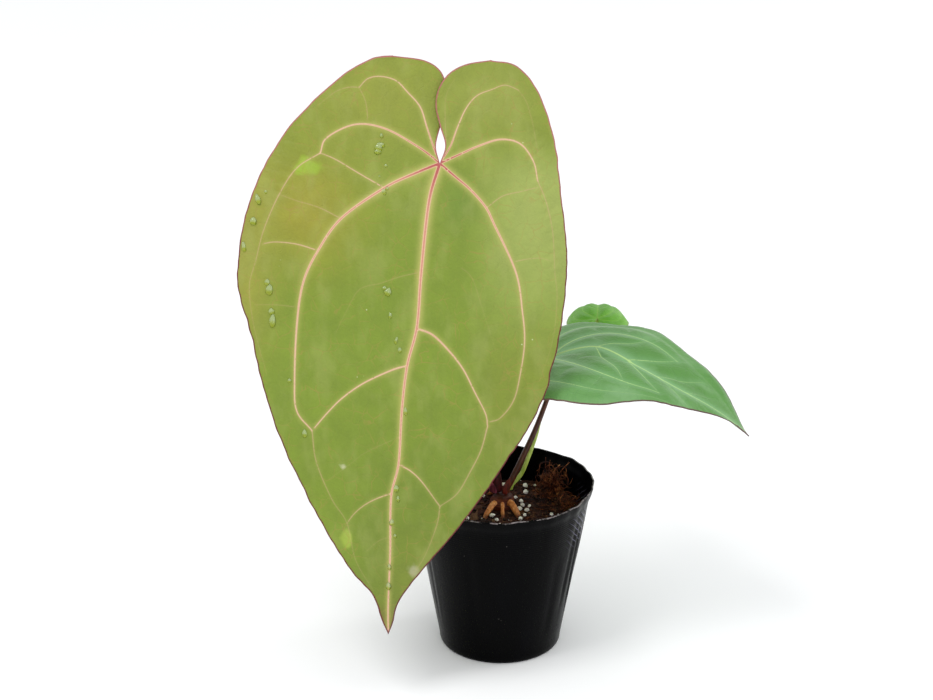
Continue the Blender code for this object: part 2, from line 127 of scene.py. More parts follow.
class Finish:
    """One material, written as values and colours that feed its Principled shader."""

    def __init__(self, name, constants):
        self.material = bpy.data.materials.new(name)
        self.material.use_nodes = True
        self.tree = self.material.node_tree
        self.shader = self.tree.nodes["Principled BSDF"]
        self.shade(constants)
        self.place = self.node("TexCoord", out="Object")

    def node(self, kind, settings=None, sockets=None, out=0):
        """Adds a node of this type: its settings first, then its sockets' values or links."""
        made = self.tree.nodes.new("ShaderNode" + kind)
        for name, value in (settings or {}).items():
            if name == "stops":
                self.set_stops(made.color_ramp.elements, value)
            else:
                setattr(made, name, value)
        for name, value in (sockets or {}).items():
            self.feed(made.inputs[name], value)
        return Value(self, made.outputs[out])

    def set_stops(self, elements, stops):
        elements.remove(elements[-1])
        elements[0].position, elements[0].color = stops[0]
        for position, colour in stops[1:]:
            elements.new(position).color = colour

    def feed(self, socket, value):
        if isinstance(value, Value):
            self.tree.links.new(value.socket, socket)
        else:
            socket.default_value = value

    def shade(self, sockets):
        for name, value in sockets.items():
            self.feed(self.shader.inputs[name], value)

    def math(self, operation, *values):
        return self.node("Math", {"operation": operation}, dict(enumerate(values)))

    def axis(self, letter, where=None):
        """How far the place lies along X, Y or Z."""
        return self.node("SeparateXYZ", {}, {0: where or self.place}, letter)

    def grain(self, scale, detail=2, roughness=0.5, where=None):
        """Soft noise, 0 to 1 and mostly near a half."""
        return self.node("TexNoise", {}, {"Vector": where or self.place, "Scale": scale, "Detail": detail,
                                          "Roughness": roughness})

    def cells(self, scale, where=None, feature="F1"):
        """Distance from the middle of the nearest cell, or from its walls."""
        return self.node("TexVoronoi", {"feature": feature},
                         {"Vector": where or self.place, "Scale": scale}, "Distance")

    def stretched(self, x, y, z, where=None):
        """The place with each direction scaled, for grain that runs one way."""
        return self.node("Mapping", {}, {"Vector": where or self.place, "Scale": (x, y, z)})

    def step(self, value, low, high):
        """0 below low, 1 above high, and smooth between; low may be the larger."""
        return self.node("MapRange", {"interpolation_type": "SMOOTHSTEP"},
                         {"Value": value, "From Min": low, "From Max": high})

    def blend(self, share, first, second, way="MIX"):
        """The second colour laid over the first by this share."""
        return self.node("Mix", {"data_type": "RGBA", "blend_type": way}, {0: share, 6: first, 7: second}, 2)

    def ramp(self, value, *stops):
        """A colour read from stops, each a value from 0 to 1 and its colour."""
        return self.node("ValToRGB", {"stops": stops}, {"Fac": value})

    def raised(self, height, distance):
        """A surface whose relief is height times distance, in metres."""
        self.shade({"Normal": self.node("Bump", {}, {"Height": height, "Distance": distance})})

    def attribute(self, name, out="Fac"):
        """What the mesh keeps under this name at each corner."""
        return self.node("Attribute", {"attribute_name": name}, out=out)


def only(piece):
    """Selects this piece alone."""
    bpy.ops.object.select_all(action="DESELECT")
    piece.select_set(True)
    bpy.context.view_layer.objects.active = piece


def apply(piece, kind, **settings):
    """Adds a modifier and applies it."""
    only(piece)
    modifier = piece.modifiers.new(kind, kind)
    for name, value in settings.items():
        setattr(modifier, name, value)
    bpy.ops.object.modifier_apply(modifier=modifier.name)


def edit(piece, picked):
    """Opens the mesh for editing, with nothing but the corners of these numbers selected."""
    only(piece)
    bpy.ops.object.mode_set(mode="EDIT")
    bpy.ops.mesh.select_all(action="DESELECT")
    bpy.ops.object.mode_set(mode="OBJECT")
    for index in picked:
        piece.data.vertices[index].select = True
    bpy.ops.object.mode_set(mode="EDIT")


def close_edit():
    """Turns every face outwards and leaves the editing."""
    bpy.ops.mesh.select_all(action="SELECT")
    bpy.ops.mesh.normals_make_consistent(inside=False)
    bpy.ops.object.mode_set(mode="OBJECT")


def keep(mesh, name, values):
    """Keeps a number, a direction or a colour at each of the mesh's corners, for its finish to read."""
    values = np.array(values, float)
    kind, key = {1: ("FLOAT", "value"), 3: ("FLOAT_VECTOR", "vector"),
                 4: ("FLOAT_COLOR", "color")}[values.size // len(values)]
    mesh.attributes.new(name, kind, "POINT").data.foreach_set(key, values.ravel())


def settle(piece, name, slot, nodes, finish):
    """Names the piece, gives it its finish, and lets it ride and stand for its CAD nodes."""
    piece.name = name
    piece.data.name = name
    piece.data.materials.clear()
    piece.data.materials.append(finish.material)
    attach(piece, "root")
    if nodes:
        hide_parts(*nodes)


POT_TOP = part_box("pot")[1].z
RIM_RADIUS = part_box("pot")[1].x
POT_BASE = 28 * MM
POT_SKIN = 0.75 * MM
HEEL = (30 * MM, 4 * MM)  # radius and height where the rounded heel meets the side
NECK = (43 * MM, 77 * MM)  # and where the side meets the lip

SIDE_ROWS = 26
LIP_LINE = 82 * MM

side_rings = [tuple(heel + (neck - heel) * row / SIDE_ROWS for heel, neck in zip(HEEL, NECK))
              for row in range(SIDE_ROWS + 1)]
pot_rings = [(29.1 * MM, 0.4 * MM), (29.7 * MM, 1.6 * MM), *side_rings,
             (43.4 * MM, 78 * MM), (43.9 * MM, 79.2 * MM), (44.4 * MM, 80.6 * MM), (44.7 * MM, LIP_LINE),
             (RIM_RADIUS, POT_TOP)]
bpy.ops.mesh.primitive_circle_add(vertices=200, radius=POT_BASE)
pot = bpy.context.object
bpy.ops.object.mode_set(mode="EDIT")
radius, height = POT_BASE, 0
for wider, higher in pot_rings:
    bpy.ops.mesh.extrude_region_move(TRANSFORM_OT_translate={"value": (0, 0, higher - height)})
    bpy.ops.transform.resize(value=(wider / radius, wider / radius, 1), center_override=(0, 0, 0))
    radius, height = wider, higher
bpy.ops.object.mode_set(mode="OBJECT")
edit(pot, [corner.index for corner in pot.data.vertices if corner.co.z < 1e-6])
bpy.ops.mesh.edge_face_add()
close_edit()

# Upright folds: bearing in degrees, lean in degrees over the height, depth and half width, ends
FOLDS = ((-31, 5, 0.55, 1.3, 22, 74), (-20, -7, 0.7, 1.1, 16, 70), (-12, 4, 0.5, 1.6, 36, 76),
         (-47, 3, 0.25, 2.4, 8, 60), (38, 6, 0.4, 1.8, 20, 72), (151, -5, 0.5, 1.6, 26, 74),
         (205, 6, 0.35, 1.4, 12, 66), (95, 4, 0.3, 2, 30, 76), (248, -4, 0.28, 2.2, 18, 70))
keep(pot.data, "lip", [max(0, corner.co.z - LIP_LINE) / MM for corner in pot.data.vertices])
for corner in pot.data.vertices:
    place = corner.co.copy()
    bearing = math.atan2(place.y, place.x)
    high = place.z / POT_TOP
    out = Vector((place.x, place.y, 0)).normalized()
    soft = high ** 6
    move = soft * (0.5 * math.sin(3 * bearing + 0.4) + 0.22 * math.sin(8 * bearing + 2)
                   + 0.12 * math.sin(19 * bearing) + 0.1 * math.sin(31 * bearing + 1))
    move += 0.2 * high * noise.noise(place * 45)
    for turned, lean, depth, width, low, top in FOLDS:
        away = (math.degrees(bearing) - turned - lean * (high - 0.5) + 180) % 360 - 180
        across = math.radians(away) * 38
        ends = min(1, max(0, (place.z / MM - low) / 14)) * min(1, max(0, (top - place.z / MM) / 9))
        move -= depth * ends * math.exp(-(across / width) ** 2)
        move += 0.4 * depth * ends * math.exp(-((across - 1.9 * width) / width) ** 2)
    dent = math.exp(-(math.degrees(bearing) / 5) ** 2) * math.exp(-((place.z / MM - 79) / 1.6) ** 2)
    corner.co += out * (move - 0.7 * dent) * MM
    corner.co.z += soft * (0.65 + 0.25 * math.sin(bearing) + 0.2 * math.sin(4 * bearing + 1.1)
                           + 0.22 * math.sin(13 * bearing) + 0.14 * math.sin(27 * bearing + 2)) * MM
apply(pot, "SOLIDIFY", thickness=POT_SKIN, offset=-1)

DRAIN_HOLES = 6
DRAIN_CIRCLE = 18 * MM
bpy.ops.object.select_all(action="DESELECT")
for turn in range(DRAIN_HOLES):
    bearing = math.tau * turn / DRAIN_HOLES
    centre = (DRAIN_CIRCLE * math.cos(bearing), DRAIN_CIRCLE * math.sin(bearing), 0)
    bpy.ops.mesh.primitive_cylinder_add(vertices=28, radius=3 * MM, depth=6 * MM, location=centre)
    punch = bpy.context.object
    apply(pot, "BOOLEAN", operation="DIFFERENCE", object=punch, solver="EXACT")
    bpy.data.objects.remove(punch)
apply(pot, "BEVEL", width=0.16 * MM, segments=2, limit_method="ANGLE", angle_limit=math.radians(60))
only(pot)
bpy.ops.object.shade_smooth_by_angle(angle=math.radians(45))

plastic = Finish("black polythene", {"Specular IOR Level": 0.045, "IOR": 1.5})
up = plastic.axis("Z") * 1000
bearing = plastic.math("ARCTAN2", plastic.axis("Y"), plastic.axis("X"))
drag = plastic.grain(90, 4, 0.6, plastic.stretched(1, 1, 0.12))
scuffs = plastic.grain(900, 3, 0.7, plastic.stretched(1, 1, 0.25))
# Scuffs and a painted highlight: the top of the lip is lightened to grey in broken patches, for wear and for
# the light its rounded edge catches.
lip_scuff_and_highlight = plastic.step(plastic.attribute("lip"), 0.8, 0.98)
lip_scuff_and_highlight *= plastic.step(plastic.grain(260, 3, 0.8), 0.4, 0.6)
specks = plastic.step(plastic.cells(230), 0.07, 0.03) * plastic.step(plastic.grain(60, 1), 0.55, 0.7)
black = plastic.blend(plastic.step(drag, 0.4, 0.75), screen(2, 2, 3), screen(7, 7, 10))
black = plastic.blend(specks * 0.5, black, screen(110, 105, 100))
scuffed_and_highlit = plastic.blend(lip_scuff_and_highlight, black, screen(132, 124, 124))
shelves = plastic.math("SINE", up * 5.2 + drag * 2)
near_top = plastic.step(up, 56, 66) * plastic.step(up, 79, 75)
streaks = plastic.math("SINE", bearing * 62 + up * 1.9 + drag * 5)
to_right = plastic.step(bearing, -0.75, -0.45) * plastic.step(bearing, 0.5, 0.2)
relief = drag * 0.5 + scuffs * 0.12 + shelves * near_top * 0.06
relief += streaks * to_right * plastic.step(up, 58, 66) * plastic.step(up, 79, 75) * 0.3
# Painted highlights on the right: one long upright lavender line along a crease, and short slanting streaks
# above it, where the creased plastic catches the light
crease_highlight = plastic.math("ABSOLUTE", bearing + 0.3 - up * 0.0006)
crease_highlight = plastic.step(crease_highlight, 0.02, 0.004) * plastic.step(up, 24, 34) * plastic.step(up, 70, 58)
crease_highlight *= plastic.step(plastic.grain(70, 3, 0.6), 0.4, 0.6)
slant_highlights = plastic.step(streaks, 0.72, 1) * to_right * plastic.step(up, 56, 64) * plastic.step(up, 78, 74)
scuffed_and_highlit = plastic.blend(crease_highlight * 0.9 + slant_highlights * 0.5, scuffed_and_highlit, screen(126, 124, 146))
plastic.shade({"Base Color": scuffed_and_highlit, "Roughness": 0.2 + 0.18 * scuffs + 0.25 * lip_scuff_and_highlight})
plastic.raised(relief, 0.35 * MM)
settle(pot, "nursery_pot", "black_plastic", ["pot"], plastic)

# The white table, which the first section laid
white = Finish("white table", {"Roughness": 0.9, "Specular IOR Level": 0.1})
white.shade({"Base Color": white.blend(white.grain(3, 2), screen(249, 249, 249), screen(253, 253, 253))})
table_top.data.materials.append(white.material)

# ---------------------------------------------------------------------------------- the potting mix
# Peat, fine bark and grit, pressed in loosely to 15 mm below the lip and a little mounded at the
# crown. Its top is moist, dark red-brown and crumbly, with chips and crumbs lying on it.

CROWN = Vector((0.8 * MM, 5.5 * MM, 0))
MIX_LEVEL = 67.5 * MM
MIX_RADIUS = 39.9 * MM


def mix_height(x, y):
    """Height of the mix's top before its crumbs."""
    away = math.hypot(x - CROWN.x, y - CROWN.y) / MIX_RADIUS
    lumps = math.sin(x / (5.1 * MM) + 0.6) * math.cos(y / (4.3 * MM))
    lumps += 0.6 * math.sin((x + y) / (7.3 * MM))
    level_ends = max(0, min(1, 2 * away) * (1 - away ** 4))
    return MIX_LEVEL + 1 * MM * (1 - away ** 2) + 0.6 * MM * lumps * level_ends


def crumbly(x, y):
    """Height of the mix's top with its crumbs."""
    place = Vector((x, y, 0.3))
    rough = 0.75 * noise.noise(place * 150) + 0.45 * noise.noise(place * 420)
    rough += 0.35 * abs(noise.noise(place * 900)) - 0.2
    return mix_height(x, y) + rough * MM


bpy.ops.mesh.primitive_grid_add(x_subdivisions=150, y_subdivisions=150, size=2 * MIX_RADIUS,
                                location=(0, 0, MIX_LEVEL))
mix = bpy.context.object
bpy.ops.object.transform_apply(location=True)
edit(mix, [corner.index for corner in mix.data.vertices
           if math.hypot(corner.co.x, corner.co.y) > MIX_RADIUS])
bpy.ops.mesh.delete(type="VERT")
bpy.ops.mesh.select_non_manifold()
bpy.ops.mesh.extrude_region_move(TRANSFORM_OT_translate={"value": (0, 0, -3 * MM)})
bpy.ops.mesh.edge_face_add()
close_edit()
for corner in mix.data.vertices:
    if corner.co.z > MIX_LEVEL - 1 * MM:
        corner.co.z = crumbly(corner.co.x, corner.co.y)
bpy.ops.object.shade_smooth()

peat = Finish("moist peat", {"Specular IOR Level": 0.25})
broad = peat.grain(70, 3, 0.6)
fine = peat.grain(650, 5, 0.75)
colour = peat.ramp(fine * 0.75 + broad * 0.35, (0.3, screen(22, 10, 10)), (0.48, screen(44, 24, 20)),
                   (0.62, screen(74, 42, 32)), (0.78, screen(112, 74, 56)))
pale = peat.step(peat.cells(900), 0.16, 0.08) * peat.step(peat.grain(160, 1), 0.56, 0.64)
peat.shade({"Base Color": peat.blend(pale * 0.8, colour, screen(176, 150, 128)),
            "Roughness": 0.95 - 0.35 * peat.step(broad, 0.5, 0.7)})
peat.raised(fine, 0.9 * MM)
settle(mix, "mix_surface", "potting_mix", ["potting_mix"], peat)


def many(name, pattern, placed):
    """One mesh of many copies of a small pattern piece; placed holds a matrix and a tone for each."""
    shape = np.array([corner.co for corner in pattern.data.vertices])
    faces = [list(face.vertices) for face in pattern.data.polygons]
    corners, joined, tones = [], [], []
    for matrix, tone in placed:
        start = len(corners)
        turned = shape @ np.array(matrix.to_3x3()).T + np.array(matrix.translation)
        corners.extend(map(tuple, turned))
        joined.extend([start + corner for corner in face] for face in faces)
        tones.extend([tone] * len(shape))
    mesh = bpy.data.meshes.new(name)
    mesh.from_pydata(corners, [], joined)
    keep(mesh, "tone", tones)
    bpy.data.objects.remove(pattern)
    piece = bpy.data.objects.new(name, mesh)
    bpy.context.collection.objects.link(piece)
    return piece


def chip(detail, roughness, seed):
    """A small broken lump, one unit in radius."""
    bpy.ops.object.select_all(action="DESELECT")
    bpy.ops.mesh.primitive_ico_sphere_add(subdivisions=detail, radius=1)
    lump = bpy.context.object
    for corner in lump.data.vertices:
        corner.co *= 1 + roughness * noise.noise(corner.co * 1.7 + Vector((seed, 0, 0)))
    return lump


def scattered(draw, count, least, most, flat, long, clear=6.6 * MM, sink=0.3):
    """Places for loose crumbs on the mix, a matrix and a tone each; sizes are radii in millimetres."""
    placed = []
    while len(placed) < count:
        bearing = draw.uniform(0, math.tau)
        away = 38.5 * MM * math.sqrt(draw.random())
        x, y = away * math.cos(bearing), away * math.sin(bearing)
        if math.hypot(x - CROWN.x, y - CROWN.y) < clear:
            continue
        size = least + (most - least) * draw.random() ** 2.5
        spot = Matrix.Translation((x, y, crumbly(x, y) + size * MM * (flat - sink)))
        turn = Matrix.Rotation(draw.uniform(0, math.tau), 4, "Z")
        tip = Matrix.Rotation(draw.gauss(0, 0.4), 4, Vector((draw.gauss(0, 1), draw.gauss(0, 1), 0.1)))
        shape = Matrix.Diagonal((size * MM * draw.uniform(1, long), size * MM, size * MM * flat, 1))
        placed.append((spot @ turn @ tip @ shape, draw.random()))
    return placed


bark = Finish("bark and peat crumbs", {"Specular IOR Level": 0.3})
tone = bark.attribute("tone")
woody = bark.grain(1100, 3, 0.6)
colour = bark.ramp(tone, (0, screen(20, 10, 9)), (0.45, screen(48, 26, 20)), (0.75, screen(86, 50, 34)),
                   (0.92, screen(126, 82, 54)), (1, screen(160, 124, 96)))
bark.shade({"Base Color": bark.blend(woody, colour, screen(40, 22, 18)),
            "Roughness": 0.75 + 0.2 * woody})
bark.raised(woody, 0.3 * MM)
draw = random.Random(11)
crumbs = many("crumbs", chip(detail=1, roughness=0.5, seed=3),
              scattered(draw, 1500, least=0.25, most=1.0, flat=0.7, long=1.7))
settle(crumbs, "peat_crumbs", "potting_mix", (), bark)
chips = many("chips", chip(detail=2, roughness=0.9, seed=8),
             scattered(draw, 150, least=0.9, most=2.2, flat=0.4, long=2.2, clear=9 * MM))
settle(chips, "bark_chips", "potting_mix", (), bark)

# ------------------------------------------------------------------------------- the crown and roots
# The plant's short stem stands in the mix, red-brown and ringed by old leaf scars. Fleshy tan roots
# leave it just above the mix and bend down into it.


def refined(node, levels):
    """A smooth copy of a CAD solid: loose triangles merged, paired into quads and subdivided."""
    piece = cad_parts[node].copy()
    piece.data = piece.data.copy()
    piece.parent = None
    for key in list(piece.keys()):
        del piece[key]
    bpy.context.collection.objects.link(piece)
    only(piece)
    bpy.ops.mesh.customdata_custom_splitnormals_clear()
    bpy.ops.object.mode_set(mode="EDIT")
    bpy.ops.mesh.select_all(action="SELECT")
    bpy.ops.mesh.remove_doubles(threshold=5e-6)
    bpy.ops.mesh.tris_convert_to_quads(face_threshold=math.radians(60), shape_threshold=math.radians(60))
    bpy.ops.object.mode_set(mode="OBJECT")
    apply(piece, "SUBSURF", levels=levels, render_levels=levels)
    bpy.ops.object.shade_smooth()
    return piece


stem = refined("crown_stem", 3)
for corner in stem.data.vertices:
    flat = Vector((corner.co.x - CROWN.x, corner.co.y - CROWN.y, 0))
    scars = 0.35 * math.sin(corner.co.z / (1.15 * MM) + 1.5 * math.atan2(flat.y, flat.x))
    swell = 0.9 * math.exp(-((corner.co.z / MM - 70) / 2.5) ** 2)
    corner.co += flat.normalized() * (scars + swell + 0.5 * noise.noise(corner.co * 400)) * MM
    taper = min(1, max(0, (corner.co.z / MM - 70) / 6)) ** 2
    corner.co -= flat * 0.2 * taper
bark_red = Finish("red-brown stem skin", {"Specular IOR Level": 0.35, "Roughness": 0.5})
rings = bark_red.grain(500, 4, 0.6, bark_red.stretched(0.4, 0.4, 2.5))
up = bark_red.axis("Z") * 1000
colour = bark_red.blend(bark_red.step(rings, 0.35, 0.7), screen(74, 28, 18), screen(128, 62, 36))
colour = bark_red.blend(bark_red.step(up, 72, 68) * 0.6, colour, screen(60, 30, 22))
colour = bark_red.blend(bark_red.step(up, 72.5, 75.5) * 0.8, colour, screen(50, 20, 11))
bark_red.shade({"Base Color": colour})
bark_red.raised(rings, 0.35 * MM)
settle(stem, "crown", "crown_stem", ["crown_stem"], bark_red)

skin = Finish("fleshy root skin", {"Specular IOR Level": 0.4, "Subsurface Weight": 0.1,
                                   "Subsurface Radius": (0.002, 0.001, 0.0005)})
lengthwise = skin.grain(380, 4, 0.6, skin.stretched(1.6, 1.6, 0.7))
spots = skin.grain(1300, 2)
at_mix = skin.step(skin.axis("Z") * 1000 + lengthwise * 2, 72.2, 69.2)
colour = skin.ramp(lengthwise, (0.3, screen(166, 84, 38)), (0.5, screen(204, 126, 66)),
                   (0.7, screen(222, 156, 98)))
colour = skin.blend(skin.step(spots, 0.58, 0.72) * 0.6, colour, screen(120, 62, 34))
skin.shade({"Base Color": skin.blend(at_mix * 0.85, colour, screen(92, 50, 32)),
            "Roughness": 0.42 + 0.3 * spots})
skin.raised(lengthwise * 0.7 + spots * 0.3, 0.3 * MM)
for side in ("left", "middle", "right", "back_left", "back_right", "surface"):
    rootlet = refined("root_" + side, 2)
    for corner in rootlet.data.vertices:
        corner.co += corner.normal * 0.28 * MM * noise.noise(corner.co * 330)
    settle(rootlet, "aerial_root_" + side, "aerial_root", ["root_" + side], skin)

# -------------------------------------------------------------------------------- the perlite grains
# Puffed volcanic glass: light white grains, rough and full of pores, 2 to 3 mm across, with smaller
# broken bits of the same lying round them.

puffed = Finish("white perlite", {"Specular IOR Level": 0.3, "Subsurface Weight": 0.1,
                                  "Subsurface Radius": (0.001, 0.001, 0.001)})
dirty = puffed.step(puffed.grain(420, 3, 0.7), 0.55, 0.8)
puffed.shade({"Base Color": puffed.blend(dirty * 0.3, screen(253, 247, 236), screen(190, 160, 134)),
              "Roughness": 0.7 + 0.2 * dirty})
puffed.raised(puffed.cells(1900), 0.2 * MM)
PERLITE_GRAINS = 17
for number in range(1, PERLITE_GRAINS + 1):
    grain = refined(f"perlite_{number:02d}", 2)
    for corner in grain.data.vertices:
        corner.co += corner.normal * 0.42 * MM * noise.noise(corner.co * 900)
    settle(grain, f"grain_{number:02d}", "perlite", [f"perlite_{number:02d}"], puffed)
bits = many("bits", chip(detail=2, roughness=0.5, seed=1),
            scattered(random.Random(5), 46, least=0.3, most=0.8, flat=0.8, long=1.2, sink=0.1))
settle(bits, "perlite_bits", "perlite", (), puffed)

# ------------------------------------------------------------------------------------ the coir fibre
# Coconut fibre that came with the young plant: a springy tangle against the back of the pot, a
# smaller tuft beside it, and single strands that lie over the mix.


def strands(name, routes, thick):
    """Round fibres, each a smooth line through its points, made one mesh."""
    curve = bpy.data.curves.new(name, "CURVE")
    curve.dimensions = "3D"
    curve.bevel_depth = thick
    curve.bevel_resolution = 1
    curve.use_fill_caps = True
    curve.resolution_u = 4
    for route in routes:
        spline = curve.splines.new("BEZIER")
        spline.bezier_points.add(len(route) - 1)
        for knot, (place, width) in zip(spline.bezier_points, route):
            knot.co = place
            knot.radius = width
            knot.handle_left_type = knot.handle_right_type = "AUTO"
    piece = bpy.data.objects.new(name, curve)
    bpy.context.collection.objects.link(piece)
    only(piece)
    bpy.ops.object.convert(target="MESH")
    bpy.ops.object.shade_smooth()
    return piece


def any_way(draw):
    """A random vector that favours no direction."""
    return Vector((draw.gauss(0, 1), draw.gauss(0, 1), draw.gauss(0, 1)))


def tangle(draw, middle, half, count):
    """Fibres that curl round a lump: arcs of great circles of changing radius."""
    routes = []
    for _ in range(count):
        first = any_way(draw).normalized()
        other = first.cross(any_way(draw)).normalized()
        length = draw.uniform(0.6, 2.6)
        near = draw.uniform(0.3, 1.0)
        aside = any_way(draw) * 0.22
        wave = draw.uniform(0, math.tau)
        width = draw.uniform(0.5, 1.3)
        route = []
        for index in range(7):
            turn = length * (index / 6 - 0.5)
            reach = near * (1 + 0.3 * math.sin(2.7 * turn + wave)) + 0.07 * draw.gauss(0, 1)
            spot = (first * math.cos(turn) + other * math.sin(turn)) * reach + aside
            place = middle + spot * half
            place.z = max(place.z, crumbly(place.x, place.y) - 0.4 * MM)
            limit = 39.6 * MM + (place.z - MIX_LEVEL) * 0.18
            flat = math.hypot(place.x, place.y)
            if flat > limit:
                place.x *= limit / flat
                place.y *= limit / flat
            route.append((place, width * (1 - 0.5 * abs(index / 3 - 1))))
        routes.append(route)
    return routes


fibre = Finish("coir fibre", {"Specular IOR Level": 0.25, "Roughness": 0.75})
hue = fibre.grain(260, 2, 0.6)
twist = fibre.grain(1500, 3)
fibre.shade({"Base Color": fibre.ramp(hue * 0.8 + twist * 0.2, (0.34, screen(26, 12, 7)),
                                      (0.48, screen(74, 36, 18)), (0.6, screen(122, 66, 32)),
                                      (0.72, screen(184, 124, 76)))})
fibre.raised(twist, 0.15 * MM)
draw = random.Random(23)
low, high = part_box("coir_clump")
middle = (low + high) / 2
half = (high - low) / 2
clump = strands("clump", tangle(draw, middle, half, 210), 0.19 * MM)
settle(clump, "coir_tangle", "coir", ["coir_clump"], fibre)
# The core is coir dust, and its dark colour is also painted shade for the hollows between the fibres.
dark = Finish("coir dust and painted shade", {"Roughness": 0.95, "Specular IOR Level": 0.1})
core_grain = dark.grain(700, 4, 0.7)
dark.shade({"Base Color": dark.ramp(core_grain, (0.35, screen(28, 12, 8)), (0.7, screen(84, 40, 22)))})
dark.raised(core_grain, 0.8 * MM)
bpy.ops.object.select_all(action="DESELECT")
bpy.ops.mesh.primitive_ico_sphere_add(subdivisions=5, radius=1)
core = bpy.context.object
for corner in core.data.vertices:
    corner.co *= 0.5 + 0.4 * noise.noise(corner.co * 2.2) + 0.16 * noise.noise(corner.co * 7)
    corner.co = middle + corner.co * half
bpy.ops.object.shade_smooth()
settle(core, "coir_dust_and_shade_core", "coir", (), dark)

low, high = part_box("coir_tuft")
tuft = strands("tuft", tangle(draw, (low + high) / 2, (high - low) / 2, 90), 0.17 * MM)
settle(tuft, "coir_small_tuft", "coir", ["coir_tuft"], fibre)

loose = []
for _ in range(64):
    bearing = draw.gauss(0.25, 0.8)
    away = draw.uniform(16, 36) * MM
    heading = draw.uniform(0, math.tau)
    bend = draw.gauss(0, 0.5)
    x, y = away * math.cos(bearing), away * math.sin(bearing)
    route = []
    for index in range(6):
        if math.hypot(x, y) < 39 * MM and math.hypot(x - CROWN.x, y - CROWN.y) > 7 * MM:
            hump = 0.9 * math.sin(index / 5 * math.pi) * draw.random()
            route.append((Vector((x, y, crumbly(x, y) + (0.25 + hump) * MM)), draw.uniform(0.6, 1.1)))
        x += 2.1 * MM * math.cos(heading)
        y += 2.1 * MM * math.sin(heading)
        heading += bend
    if len(route) > 2:
        loose.append(route)
# Three strands stand up out of the tangle
for x, y, rise, lean in ((-3.2, 1.5, 13.5, 0.2), (-1.6, 0.5, 12.5, 0.7), (3, 1, 11, 5.5)):
    foot = middle + Vector((x, y, 0)) * MM
    loose.append([(foot + Vector((lean * share ** 2, 0.6 * math.sin(5 * share), rise * share)) * MM,
                   1.8 - 0.9 * share) for share in (0, 0.25, 0.5, 0.75, 1)])
settle(strands("loose", loose, 0.19 * MM), "loose_fibres", "coir", (), fibre)

# -------------------------------------------------------------------------------------- the petioles
# Three smooth stalks from the crown, each with a thicker knee under its blade. The older two are
# dark brown, and the youngest is yellow-green.


def stalk_finish(name, deep, mid, bright, streak):
    finish = Finish(name, {"Specular IOR Level": 0.4, "Subsurface Weight": 0.05,
                           "Subsurface Radius": (0.002, 0.001, 0.001)})
    lines = finish.grain(900, 3, 0.6, finish.stretched(1, 1, 0.06))
    patches = finish.grain(110, 2, 0.5)
    colour = finish.ramp(lines * 0.6 + patches * 0.4, (0.32, deep), (0.5, mid), (0.68, bright))
    flecks = finish.step(finish.grain(1500, 2, 0.6, finish.stretched(1, 1, 0.3)), 0.66, 0.72)
    finish.shade({"Base Color": finish.blend(flecks * 0.5, colour, streak), "Roughness": 0.34 + 0.2 * lines})
    finish.raised(lines, 0.12 * MM)
    return finish


brown = stalk_finish("brown stalk skin", screen(44, 18, 9), screen(70, 32, 16), screen(104, 56, 30),
                     screen(136, 92, 58))
green = stalk_finish("green stalk skin", screen(146, 168, 60), screen(172, 192, 86), screen(196, 212, 116),
                     screen(214, 220, 150))
for size, colour, finish in (("large", "brown", brown), ("second", "brown", brown),
                             ("small", "green", green)):
    settle(refined("petiole_" + size, 2), "stalk_" + size, "petiole_" + colour, ["petiole_" + size],
           finish)

# ---------------------------------------------------------------------------------- the sheath leaves
# Papery scale leaves that wrapped each new bud and dried round the stalks' feet: one dark maroon, one
# purple and one red-brown, with fine lengthwise ribs.

for sheath, slot, deep, bright in (("dark", "maroon", screen(38, 6, 10), screen(86, 16, 24)),
                                   ("purple", "purple", screen(84, 28, 42), screen(150, 70, 92)),
                                   ("red", "red", screen(58, 16, 10), screen(112, 36, 24))):
    papery = Finish(f"{sheath} sheath skin", {"Specular IOR Level": 0.4})
    ribs = papery.grain(1500, 3, 0.6, papery.stretched(1, 1, 0.08))
    blotch = papery.grain(260, 2)
    light = papery.step(ribs * 0.6 + blotch * 0.4, 0.38, 0.66)
    papery.shade({"Base Color": papery.blend(light, deep, bright), "Roughness": 0.4 + 0.3 * blotch})
    papery.raised(ribs, 0.18 * MM)
    settle(refined("cataphyll_" + sheath, 2), "sheath_" + sheath, "cataphyll_" + slot,
           ["cataphyll_" + sheath], papery)

# ------------------------------------------------------------------------------------ the large leaf
# One living blade, 0.7 mm thick, heart shaped, hanging from its knee with its tip down in front of
# the pot. Pink main veins in pale borders stand a little proud of it and the skin is quilted between
# them. Its two basal lobes lie one over the other, and its edge is a thin maroon line.


